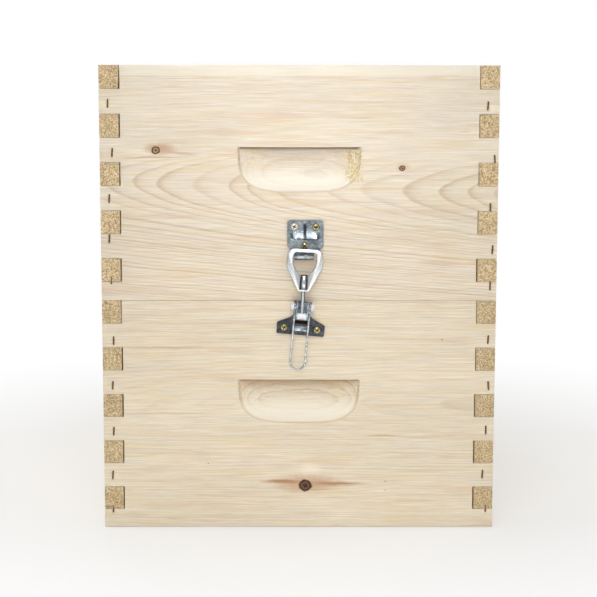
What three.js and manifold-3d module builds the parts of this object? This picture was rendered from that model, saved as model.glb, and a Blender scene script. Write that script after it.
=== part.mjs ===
// Two stacked deep Langstroth hive bodies, ten frames in each, held together by an adjustable toggle latch.
// Millimetres, +Z up. X is the short side, Y the long side, and the latch is on the -Y end.
import * as THREE from 'three';
import { mergeVertices } from 'three/addons/utils/BufferGeometryUtils.js';
import Module from 'manifold-3d';

const wasm = await Module();
wasm.setup();

// ---- driving dimensions -------------------------------------------------
const WIDTH = 413;            // outside width of a hive body (X)
const LENGTH = 505;           // outside length of a hive body (Y)
const HEIGHT = 244;           // height of one hive body
const BOARD = 20;             // board thickness
const SEAM = 0.2;             // gap between the two stacked bodies
const PITCH = 50;             // box-joint pitch
const END_FINGER = 25.8;      // finger height on the front and back boards
const END_FINGER_LOW = 19.8;  // the bottom finger of the front and back boards
const JOINT_GAP = 0.3;        // vertical play in each box joint
const NOTCH_PLAY_END = 0.8;   // extra notch depth in the front and back boards
const NOTCH_PLAY_SIDE = 0.4;  // extra notch depth in the side boards

const RABBET_DEEP = 9.5;      // frame rest, depth into the board
const RABBET_HIGH = 19;       // frame rest, height below the rim

const HOLD_HALF = 65;         // half width of a hand hold
const HOLD_HIGH = 47;         // height of a hand hold
const HOLD_DEEP = 12.5;       // depth of a hand hold under its straight top edge
const HOLD_DROP = 84;         // top edge of the hand hold below the rim
const HOLD_POWER = 2.5;       // fullness of the hand hold's outline

const FRAMES = 10;            // frames in each body
const FRAME_PITCH = 35;       // frame spacing
const TOP_BAR_LONG = 482;
const TOP_BAR_WIDE = 27;
const TOP_BAR_HIGH = 19;
const LUG_HIGH = 9.5;
const FRAME_HIGH = 232;
const FRAME_LONG = 448;       // over the end bars
const END_BAR = 9.5;          // end bar thickness
const END_BAR_WIDE = 34.4;    // end bar width at the shoulder
const END_BAR_NARROW = 27;    // end bar width below the shoulder
const SHOULDER_LOW = 138;     // shoulder bottom above the frame's bottom
const BOTTOM_BAR_WIDE = 19;
const BOTTOM_BAR_HIGH = 10;
const SHEET = 4;              // thickness of the comb foundation
const SHEET_GROOVE = 3;       // depth the foundation sits into the bars

const LATCH_X = 3.7;          // lever pivot, across the front board
const LATCH_Z = 239;          // lever pivot height
const LATCH_TILT = 5;         // degrees the lower half of the latch leans clockwise
const CLEAR = 0.3;            // stand-off of the latch plates from the wood
const PLATE = 1.8;            // base plate thickness
const PIVOT_W = 11;           // lever pivot height off the wood
const TRUNNION_T = -10;       // trunnion below the pivot
const TRUNNION_W = 9.4;       // trunnion height off the wood
const ROD_R = 2;              // draw rod radius
const DRAW_YAW = -1.8;        // degrees the draw rod turns back from the latch tilt
const DRAW_LEAN = 2.7;        // degrees the draw rod leans to the wood
const WIRE_R = 1.1;           // bail wire radius
const BAIL_HALF = 7.7;        // half distance between the bail's legs
const BAIL_END = -67;         // end of the bail below the pivot
const CATCH_X = 6.4;          // catch plate centre, across the front board
const CATCH_LOW = 296.7;
const CATCH_HIGH = 328.6;
const CATCH_HALF = 18.9;
const HOOK_X = 5.2;
const HOOK_WIDE = 20.5;
const SCREW_R = 1.9;          // screw shank radius
const BORE_R = 2.3;           // holes for the screws

// ---- materials ----------------------------------------------------------
const pine = new THREE.MeshStandardMaterial({ color: 0xe6d3b5, roughness: 0.72, metalness: 0 });
const frameWood = new THREE.MeshStandardMaterial({ color: 0xdcc29a, roughness: 0.7, metalness: 0 });
const wax = new THREE.MeshStandardMaterial({ color: 0xd9a441, roughness: 0.5, metalness: 0 });
const zinc = new THREE.MeshStandardMaterial({ color: 0x8f9aa3, roughness: 0.42, metalness: 0.9 });
const brightZinc = new THREE.MeshStandardMaterial({ color: 0xd8dce0, roughness: 0.3, metalness: 0.95 });
const yellowZinc = new THREE.MeshStandardMaterial({ color: 0xcdb574, roughness: 0.35, metalness: 0.9 });

// ---- solid helpers ------------------------------------------------------
function solid(geometry, matrix) {
  const g = geometry.clone();
  if (matrix) g.applyMatrix4(matrix);
  g.deleteAttribute('normal');
  g.deleteAttribute('uv');
  const m = mergeVertices(g, 1e-4);
  const verts = new Float32Array(m.attributes.position.array);
  let tris = new Uint32Array(m.index.array);
  let body = new wasm.Manifold(new wasm.Mesh({ numProp: 3, vertProperties: verts, triVerts: tris }));
  if (body.volume() < 0) {
    tris = tris.slice();
    for (let i = 0; i < tris.length; i += 3) [tris[i], tris[i + 1]] = [tris[i + 1], tris[i]];
    body = new wasm.Manifold(new wasm.Mesh({ numProp: 3, vertProperties: verts, triVerts: tris }));
  }
  return body;
}

function geometryOf(body) {
  const mesh = body.getMesh();
  const g = new THREE.BufferGeometry();
  g.setAttribute('position', new THREE.BufferAttribute(new Float32Array(mesh.vertProperties), 3));
  g.setIndex(new THREE.BufferAttribute(new Uint32Array(mesh.triVerts), 1));
  g.computeVertexNormals();
  return g;
}

function named(name, body, material) {
  const mesh = new THREE.Mesh(geometryOf(body), material.clone());
  mesh.name = name;
  return mesh;
}

// A block between two corners.
function block(x0, x1, y0, y1, z0, z1) {
  const g = new THREE.BoxGeometry(x1 - x0, y1 - y0, z1 - z0);
  g.translate((x0 + x1) / 2, (y0 + y1) / 2, (z0 + z1) / 2);
  return solid(g);
}

// A flat outline in X and Y, made thick along Z.
function flat(points, z0, z1, holes = []) {
  const shape = new THREE.Shape(points.map(([x, y]) => new THREE.Vector2(x, y)));
  for (const h of holes) shape.holes.push(new THREE.Path(h.map(([x, y]) => new THREE.Vector2(x, y))));
  const g = new THREE.ExtrudeGeometry(shape, { depth: z1 - z0, bevelEnabled: false, curveSegments: 8 });
  g.translate(0, 0, z0);
  return solid(g);
}

// A profile in Y and Z, made thick along X.
function side(points, x0, x1, holes = []) {
  const shape = new THREE.Shape(points.map(([y, z]) => new THREE.Vector2(y, z)));
  for (const h of holes) shape.holes.push(new THREE.Path(h.map(([y, z]) => new THREE.Vector2(y, z))));
  const g = new THREE.ExtrudeGeometry(shape, { depth: x1 - x0, bevelEnabled: false, curveSegments: 8 });
  g.translate(0, 0, x0);
  const turn = new THREE.Matrix4().makeBasis(
    new THREE.Vector3(0, 1, 0), new THREE.Vector3(0, 0, 1), new THREE.Vector3(1, 0, 0));
  return solid(g, turn);
}

// A round bar or hole along one axis, from a to b, centred on the other two coordinates.
function round(axis, r, a, b, c1, c2, segments = 16) {
  const g = new THREE.CylinderGeometry(r, r, b - a, segments);
  if (axis === 'x') { g.rotateZ(-Math.PI / 2); g.translate((a + b) / 2, c1, c2); }
  if (axis === 'y') g.translate(c1, (a + b) / 2, c2);
  if (axis === 'z') { g.rotateX(Math.PI / 2); g.translate(c1, c2, (a + b) / 2); }
  return solid(g);
}

function ring(cx, cy, r, n = 16) {
  return Array.from({ length: n }, (_, i) => [cx + r * Math.cos((2 * Math.PI * i) / n), cy + r * Math.sin((2 * Math.PI * i) / n)]);
}

// A closed solid of revolution about Z from a profile of [radius, height] pairs that starts and ends on the axis.
function turned(profile, segments = 14) {
  const g = new THREE.LatheGeometry(profile.map(([r, h]) => new THREE.Vector2(r, h)), segments);
  g.rotateX(Math.PI / 2);
  return solid(g);
}

// ---- hive bodies --------------------------------------------------------
const sideSpans = (() => {
  const spans = [];
  for (let z = END_FINGER_LOW; z < HEIGHT - 1; z += PITCH) spans.push([z, z + PITCH - END_FINGER]);
  return spans;
})();
const endSpans = (() => {
  const spans = [[0, END_FINGER_LOW]];
  for (let i = 0; i < sideSpans.length - 1; i++) spans.push([sideSpans[i][1], sideSpans[i + 1][0]]);
  return spans;
})();

// The scoop cut for a hand hold on the face whose outward direction is -Y, at y = 0.
function holdCutter() {
  const g = new THREE.SphereGeometry(1, 16, 8);
  const p = g.attributes.position;
  for (let i = 0; i < p.count; i++) {
    const x = p.getX(i), y = p.getY(i), z = p.getZ(i);
    const flatPart = Math.pow(Math.pow(Math.abs(x), HOLD_POWER) + Math.pow(Math.abs(y), HOLD_POWER), 2 / HOLD_POWER);
    const k = 1 / Math.sqrt(flatPart + z * z);
    p.setXYZ(i, x * k * HOLD_HALF, z * k * HOLD_DEEP, -y * k * HOLD_HIGH);
  }
  return solid(g).intersect(block(-100, 100, -100, 100, -100, 0));
}
const hold = holdCutter();

// The front board of a hive body that starts at height z0. The back board is its half turn.
function endBoard(z0, bores) {
  const x = WIDTH / 2, y = LENGTH / 2, g = JOINT_GAP / 2;
  let b = block(-x, x, -y, -y + BOARD, z0, z0 + HEIGHT);
  for (const [a, c] of sideSpans) {
    const top = c > HEIGHT - 1 ? c + 5 : c + g;
    const n = BOARD + NOTCH_PLAY_END;
    b = b.subtract(block(-x - 5, -x + n, -y - 5, -y + BOARD + 5, z0 + a - g, z0 + top));
    b = b.subtract(block(x - n, x + 5, -y - 5, -y + BOARD + 5, z0 + a - g, z0 + top));
  }
  b = b.subtract(block(-x - 5, x + 5, -y + BOARD - RABBET_DEEP, -y + BOARD + 5, z0 + HEIGHT - RABBET_HIGH, z0 + HEIGHT + 5));
  b = b.subtract(hold.translate([0, -y, z0 + HEIGHT - HOLD_DROP]));
  for (const bore of bores) b = b.subtract(bore);
  return b;
}

// The right board of a hive body. The left board is its half turn.
function sideBoard(z0) {
  const x = WIDTH / 2, y = LENGTH / 2, g = JOINT_GAP / 2;
  let b = block(x - BOARD, x, -y, y, z0, z0 + HEIGHT);
  for (const [a, c] of endSpans) {
    const low = a < 1 ? a - 5 : a - g;
    const n = BOARD + NOTCH_PLAY_SIDE;
    b = b.subtract(block(x - BOARD - 5, x + 5, -y - 5, -y + n, z0 + low, z0 + c + g));
    b = b.subtract(block(x - BOARD - 5, x + 5, y - n, y + 5, z0 + low, z0 + c + g));
  }
  return b.subtract(hold.rotate([0, 0, 90]).translate([x, 0, z0 + HEIGHT - HOLD_DROP]));
}

// ---- latch layout -------------------------------------------------------
// Latch coordinates are s across, t up the latch, and w out from the wood.
const tilt = THREE.MathUtils.degToRad(LATCH_TILT);
const latchMatrix = new THREE.Matrix4().makeBasis(
  new THREE.Vector3(Math.cos(tilt), 0, -Math.sin(tilt)),
  new THREE.Vector3(Math.sin(tilt), 0, Math.cos(tilt)),
  new THREE.Vector3(0, -1, 0)).setPosition(LATCH_X, -LENGTH / 2, LATCH_Z);
const wallMatrix = new THREE.Matrix4().makeBasis(
  new THREE.Vector3(1, 0, 0), new THREE.Vector3(0, 0, 1), new THREE.Vector3(0, -1, 0)).setPosition(0, -LENGTH / 2, 0);

const baseScrews = [[-17.3, -24.4], [17.3, -24.4]];
const catchScrews = [[-4.9, 322.0], [17.4, 321.5], [5.7, 302.1]];
const SCREW_LONG = 15;

function boresFor(list, matrix, slant) {
  return list.map(([s, t]) => {
    const g = new THREE.CylinderGeometry(BORE_R, BORE_R, SCREW_LONG + 6, 10);
    g.rotateX(Math.PI / 2);
    g.translate(s, t, -(SCREW_LONG + 6) / 2 + 4);
    return solid(g, matrix);
  });
}

const model = new THREE.Group();
const hive = new THREE.Group();
model.add(hive);

const upperZ = HEIGHT + SEAM;
const boxes = [
  ['lower', 0, boresFor(baseScrews, latchMatrix)],
  ['upper', upperZ, boresFor(catchScrews, wallMatrix)],
];
for (const [level, z0, bores] of boxes) {
  hive.add(named(`${level}_front_board`, endBoard(z0, bores), pine));
  hive.add(named(`${level}_back_board`, endBoard(z0, []).rotate([0, 0, 180]), pine));
  hive.add(named(`${level}_right_board`, sideBoard(z0), pine));
  hive.add(named(`${level}_left_board`, sideBoard(z0).rotate([0, 0, 180]), pine));
}

// ---- frames -------------------------------------------------------------
// All frame pieces are made about x = 0 with the frame's bottom at z = 0, then moved into place.
const halfLong = FRAME_LONG / 2;
const topLow = FRAME_HIGH - TOP_BAR_HIGH;      // underside of the top bar's thick part
const lugLow = FRAME_HIGH - LUG_HIGH;          // underside of the lugs
const FIT = 0.3;                               // play between the wooden bars

function topBar(groove, glued = false) {
  const w = TOP_BAR_WIDE / 2, inner = halfLong - END_BAR + (glued ? 2 : -FIT);
  let b = block(-w, w, -TOP_BAR_LONG / 2, TOP_BAR_LONG / 2, lugLow, FRAME_HIGH)
    .add(block(-w, w, -inner, inner, topLow, lugLow + 1));
  const open = halfLong - END_BAR;
  if (groove) b = b.subtract(block(-SHEET / 2 - 0.3, SHEET / 2 + 0.3, -open, open, topLow - 1, topLow + SHEET_GROOVE));
  return b;
}

function endBar(sign, glued = false) {
  const n = END_BAR_NARROW / 2, w = END_BAR_WIDE / 2;
  const outline = [[-n, 0], [n, 0], [n, SHOULDER_LOW], [w, SHOULDER_LOW + 14], [w, FRAME_HIGH], [-w, FRAME_HIGH], [-w, SHOULDER_LOW + 14], [-n, SHOULDER_LOW]];
  const y0 = sign > 0 ? halfLong - END_BAR : -halfLong;
  const shape = flat(outline, 0, END_BAR).rotate([90, 0, 0]).translate([0, y0 + END_BAR, 0]);
  if (glued) return shape;
  const slot = TOP_BAR_WIDE / 2 + FIT, foot = BOTTOM_BAR_WIDE / 2 + FIT;
  return shape
    .subtract(block(-slot, slot, y0 - 1, y0 + END_BAR + 1, lugLow - FIT, FRAME_HIGH + 5))
    .subtract(block(-foot, foot, y0 - 1, y0 + END_BAR + 1, -5, BOTTOM_BAR_HIGH + FIT));
}

function bottomBar(groove) {
  const w = BOTTOM_BAR_WIDE / 2, open = halfLong - END_BAR;
  const b = block(-w, w, -halfLong, halfLong, 0, BOTTOM_BAR_HIGH);
  return groove ? b.subtract(block(-SHEET / 2 - 0.3, SHEET / 2 + 0.3, -open, open, BOTTOM_BAR_HIGH - SHEET_GROOVE, BOTTOM_BAR_HIGH + 1)) : b;
}

function sheet(z0, z1, half) {
  return block(-SHEET / 2, SHEET / 2, -half, half, z0, z1);
}

// The wooden bars of a frame joined into one piece, as they are when glued and nailed.
function gluedFrame(groove) {
  return topBar(groove, true).add(bottomBar(groove)).add(endBar(1, true)).add(endBar(-1, true));
}

const lowSheet = BOTTOM_BAR_HIGH - SHEET_GROOVE + 0.3;
const highSheet = topLow + SHEET_GROOVE - 0.3;
const sheetHalf = halfLong - END_BAR - 0.3;
const gluedOpen = gluedFrame(true);
const gluedFull = gluedFrame(false).add(sheet(BOTTOM_BAR_HIGH - 1, topLow + 1, halfLong - END_BAR + 1));
const frameRest = HEIGHT - RABBET_HIGH - lugLow + 0.2;   // height of a frame's bottom above its box's bottom
const SPLIT = 5;                                          // the upper frame whose bars are separate pieces

for (let i = 0; i < FRAMES; i++) {
  const x = (i - (FRAMES - 1) / 2) * FRAME_PITCH;
  const id = String(i + 1).padStart(2, '0');
  const place = (name, body, material, z) => {
    const mesh = named(name, body, material);
    mesh.position.set(x, 0, z + frameRest);
    hive.add(mesh);
  };
  place(`lower_frame_${id}`, gluedFull, frameWood, 0);
  if (i + 1 === SPLIT) {
    place(`upper_frame_${id}_top_bar`, topBar(true), frameWood, upperZ);
    place(`upper_frame_${id}_front_end_bar`, endBar(-1), frameWood, upperZ);
    place(`upper_frame_${id}_back_end_bar`, endBar(1), frameWood, upperZ);
    place(`upper_frame_${id}_bottom_bar`, bottomBar(true), frameWood, upperZ);
  } else {
    place(`upper_frame_${id}_wood`, gluedOpen, frameWood, upperZ);
  }
  place(`upper_frame_${id}_foundation`, sheet(lowSheet, highSheet, sheetHalf), wax, upperZ);
}

// ---- latch: catch half, on the upper body -------------------------------
function groupAt(matrix, parent) {
  const g = new THREE.Group();
  matrix.decompose(g.position, g.quaternion, g.scale);
  parent.add(g);
  return g;
}

const catchGroup = groupAt(wallMatrix, hive);
{
  const x0 = CATCH_X - CATCH_HALF, x1 = CATCH_X + CATCH_HALF;
  const outline = [
    [x0 + 4.5, CATCH_LOW], [x1 - 4.5, CATCH_LOW], [x1, CATCH_LOW + 5], [x1, CATCH_HIGH - 1],
    [x1 - 1, CATCH_HIGH], [x0 + 1, CATCH_HIGH], [x0, CATCH_HIGH - 1], [x0, CATCH_LOW + 5]];
  let plate = flat(outline, CLEAR, CLEAR + 1.6);
  // Hook tongue: centre line as [height, distance out], thickened to a bent strip.
  const path = [[301, 1.1], [295.6, 1.1], [292.6, 2.6], [289.4, 6.6], [288.9, 9.4], [290.0, 11.6], [292.8, 12.1]];
  const left = [], right = [];
  for (let i = 0; i < path.length; i++) {
    const a = path[Math.max(0, i - 1)], b = path[Math.min(path.length - 1, i + 1)];
    const d = Math.hypot(b[0] - a[0], b[1] - a[1]);
    const n = [-(b[1] - a[1]) / d, (b[0] - a[0]) / d];
    left.push([path[i][0] + n[0] * 0.8, path[i][1] + n[1] * 0.8]);
    right.push([path[i][0] - n[0] * 0.8, path[i][1] - n[1] * 0.8]);
  }
  const tongue = side([...left, ...right.reverse()], HOOK_X - HOOK_WIDE / 2, HOOK_X + HOOK_WIDE / 2);
  plate = plate.add(tongue);
  // Pressed stiffening rib and two pressed lips.
  const face = CLEAR + 1.6;
  plate = plate.add(block(5.0, 7.2, 311, 325, face - 0.5, face + 1.0));
  plate = plate.add(block(-8.4, 4.4, 308.6, 310.0, face - 0.5, face + 1.1));
  plate = plate.add(block(7.6, 19.6, 308.3, 309.7, face - 0.5, face + 1.1));
  for (const [x, z] of catchScrews) plate = plate.subtract(round('z', BORE_R, -2, 6, x, z, 12));
  catchGroup.add(named('catch_plate', plate, zinc));
}

function screw(underHead) {
  return turned([
    [0, underHead - SCREW_LONG], [SCREW_R, underHead - SCREW_LONG + 3.5], [SCREW_R, underHead],
    [3.8, underHead + 0.05], [3.8, underHead + 0.5], [2.9, underHead + 1.6], [1.5, underHead + 2.1], [0, underHead + 2.2]], 12);
}
catchScrews.forEach(([x, z], i) => {
  const mesh = named(`catch_screw_${['left', 'right', 'lower'][i]}`, screw(CLEAR + 1.6 + 0.15), yellowZinc);
  mesh.position.set(x, z, 0);
  catchGroup.add(mesh);
});

// ---- latch: base plate, pivots and screws, on the lower body ------------
const latch = groupAt(latchMatrix, hive);
const top = CLEAR + PLATE;
const EAR_IN = 9.1, EAR_OUT = 10.6;
{
  const outline = [
    [-24.4, -31.2], [24.4, -31.2], [25.3, -30.3], [25.3, -19.4], [EAR_OUT, -12.6], [EAR_OUT, 4.2],
    [-EAR_OUT, 4.2], [-EAR_OUT, -12.6], [-25.3, -19.4], [-25.3, -30.3]];
  const slot = [[-6.5, -18.9], [6.5, -18.9], [6.5, -15.4], [-6.5, -15.4]];
  let plate = flat(outline, CLEAR, top, [slot, ...baseScrews.map(([s, t]) => ring(s, t, BORE_R, 12))]);
  const arc = Array.from({ length: 9 }, (_, i) => {
    const a = (i / 8) * Math.PI;
    return [4.6 * Math.cos(a), PIVOT_W + 4.6 * Math.sin(a)];
  });
  const ear = [[4.2, top - 0.5], [4.6, 6], ...arc, [-5.2, 7.5], [-10.8, top + 0.6], [-12.0, top - 0.5]];
  for (const [a, b] of [[-EAR_OUT, -EAR_IN], [EAR_IN, EAR_OUT]]) plate = plate.add(side(ear, a, b, [ring(0, PIVOT_W, 2.45, 14)]));
  latch.add(named('base_plate', plate, zinc));
}
baseScrews.forEach(([s, t], i) => {
  const mesh = named(`base_screw_${['left', 'right'][i]}`, screw(top + 0.15), yellowZinc);
  mesh.position.set(s, t, 0);
  latch.add(mesh);
});
{
  const head = [[0, 4.8], [2.2, 4.8], [2.2, EAR_OUT + 0.2], [3.5, EAR_OUT + 0.25], [3.3, EAR_OUT + 1.0], [2.1, EAR_OUT + 1.7], [0, EAR_OUT + 1.95]];
  for (const [name, turn] of [['pivot_rivet_right', 90], ['pivot_rivet_left', -90]]) {
    latch.add(named(name, turned(head, 12).rotate([0, turn, 0]).translate([0, 0, PIVOT_W]), brightZinc));
  }
}

// ---- latch: lever (bracket and bail) ------------------------------------
{
  const profile = [
    [3.0, 3.4], [5.0, 7.6], [5.6, 10.0], [5.2, 13.0], [3.6, 15.2], [-8.6, 15.2], [-12.9, 13.4], [-14.2, 11.0], [-14.2, 3.4]];
  const holes = [ring(0, PIVOT_W, 2.45, 14), ring(TRUNNION_T, TRUNNION_W, 2.3, 12)];
  let bracket = side(profile, -6.4, -5.2, holes).add(side(profile, 5.2, 6.4, holes));
  bracket = bracket.add(block(-6.4, 6.4, -14.2, 3.0, 3.4, 4.6));
  latch.add(named('lever_bracket', bracket, brightZinc));

  const points = [];
  const wAt = (t) => PIVOT_W - 0.1 - ((-3.4 - t) / 64) * 3.8;
  for (const t of [-3.4, -20, -40]) points.push([BAIL_HALF, t]);
  const centre = BAIL_END + BAIL_HALF;
  for (let i = 0; i <= 6; i++) points.push([BAIL_HALF * Math.cos((i / 6) * Math.PI), centre - BAIL_HALF * Math.sin((i / 6) * Math.PI)]);
  for (const t of [-40, -20, -3.4]) points.push([-BAIL_HALF, t]);
  const curve = new THREE.CatmullRomCurve3(points.map(([s, t]) => new THREE.Vector3(s, t, wAt(t))), false, 'centripetal');
  const wire = new THREE.Shape();
  wire.absarc(0, 0, WIRE_R, 0, 2 * Math.PI, false);
  let bail = solid(new THREE.ExtrudeGeometry(wire, { steps: 24, curveSegments: 3, extrudePath: curve, bevelEnabled: false }));
  for (const s of [-BAIL_HALF, BAIL_HALF]) {
    const eye = new THREE.TorusGeometry(2.45 + WIRE_R, WIRE_R, 6, 12);
    eye.rotateY(Math.PI / 2);
    eye.translate(s, 0, PIVOT_W);
    bail = bail.add(solid(eye));
  }
  latch.add(named('bail_handle', bail, brightZinc));
}

// ---- latch: draw bar (trunnion, rod, sleeve, claw) ----------------------
const drawTurn = new THREE.Matrix4().makeRotationZ(THREE.MathUtils.degToRad(-DRAW_YAW))
  .multiply(new THREE.Matrix4().makeRotationX(THREE.MathUtils.degToRad(-DRAW_LEAN)))
  .setPosition(0, TRUNNION_T, TRUNNION_W);
{
  const bore = new THREE.CylinderGeometry(ROD_R + 0.35, ROD_R + 0.35, 12, 12);
  const trunnion = round('x', 3.4, -4.9, 4.9, TRUNNION_T, TRUNNION_W, 16)
    .add(round('x', 2.0, -6.4, 6.4, TRUNNION_T, TRUNNION_W, 12))
    .subtract(solid(bore, drawTurn));
  latch.add(named('trunnion', trunnion, brightZinc));
}
const draw = groupAt(drawTurn, latch);
draw.add(named('draw_rod', round('y', ROD_R, -4.0, 42.2, 0, 0, 12), brightZinc));
{
  const outer = 3.4, inner = ROD_R + 0.35;
  const sleeve = round('y', outer, 28.1, 42.6, 0, 0, 16).subtract(round('y', inner, 20, 50, 0, 0, 12));
  draw.add(named('adjuster_sleeve', sleeve, zinc));
}
{
  const outline = [
    [5.7, 26.1], [18.9, 51.5], [18.2, 65.5], [15.6, 68.6], [12.3, 70.2],
    [-12.3, 70.2], [-15.6, 68.6], [-18.2, 65.5], [-18.9, 51.5], [-5.7, 26.1]];
  const opening = [
    [3.9, 28.0], [3.9, 40.8], [12.0, 53.5], [12.2, 58.0], [11.6, 64.6], [9.8, 66.4],
    [-9.8, 66.4], [-11.6, 64.6], [-12.2, 58.0], [-12.0, 53.5], [-3.9, 40.8], [-3.9, 28.0]];
  const claw = flat(outline, -1.3, 1.3, [opening])
    .add(block(-4.6, 4.6, 26.1, 27.8, -3.4, 3.4))
    .subtract(round('y', ROD_R + 0.35, 20, 32, 0, 0, 12));
  draw.add(named('claw', claw, brightZinc));
}

// ---- origin: middle of the footprint, bottom at zero ---------------------
hive.updateMatrixWorld(true);
const box = new THREE.Box3().setFromObject(hive, true);
hive.position.set(0, -(box.min.y + box.max.y) / 2, 0);
model.updateMatrixWorld(true);

export default model;
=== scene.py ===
import bpy, bmesh, math, random
import numpy as np
from mathutils import Vector, Matrix


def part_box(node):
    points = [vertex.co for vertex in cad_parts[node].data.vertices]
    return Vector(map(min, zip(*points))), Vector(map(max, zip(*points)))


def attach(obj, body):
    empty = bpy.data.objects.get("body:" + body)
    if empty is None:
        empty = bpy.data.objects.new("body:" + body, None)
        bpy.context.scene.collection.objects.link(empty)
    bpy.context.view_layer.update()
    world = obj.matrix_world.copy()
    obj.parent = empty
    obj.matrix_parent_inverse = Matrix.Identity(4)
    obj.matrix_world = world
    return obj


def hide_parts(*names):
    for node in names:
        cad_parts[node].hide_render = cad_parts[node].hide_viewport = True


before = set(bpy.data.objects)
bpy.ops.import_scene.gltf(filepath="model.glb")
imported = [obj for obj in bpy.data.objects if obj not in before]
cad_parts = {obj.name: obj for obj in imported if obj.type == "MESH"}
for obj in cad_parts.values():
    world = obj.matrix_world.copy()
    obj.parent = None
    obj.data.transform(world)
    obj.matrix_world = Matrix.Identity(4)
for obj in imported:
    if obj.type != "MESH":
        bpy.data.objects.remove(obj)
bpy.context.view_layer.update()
MM = 0.001
rng = random.Random(7)
sc = bpy.context.scene
COL = sc.collection

# ------------------------------------------------------------------ sizes read from the frame
def bx(n):
    lo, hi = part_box(n)
    return [v / MM for v in lo], [v / MM for v in hi]

fl, fh = bx("lower_front_board")
ul, uh = bx("upper_front_board")
bl, bh = bx("lower_back_board")
XH = fh[0]                      # half width
YF, YB = fl[1], bh[1]           # front and back faces
T = fh[1] - fl[1]               # board thickness
H = fh[2] - fl[2]               # height of a body
Z0 = {"lower": fl[2], "upper": ul[2]}
YC = (YF + YB) / 2
PITCH, FING, LOWF = 50.0, 24.2, 19.8

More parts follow.
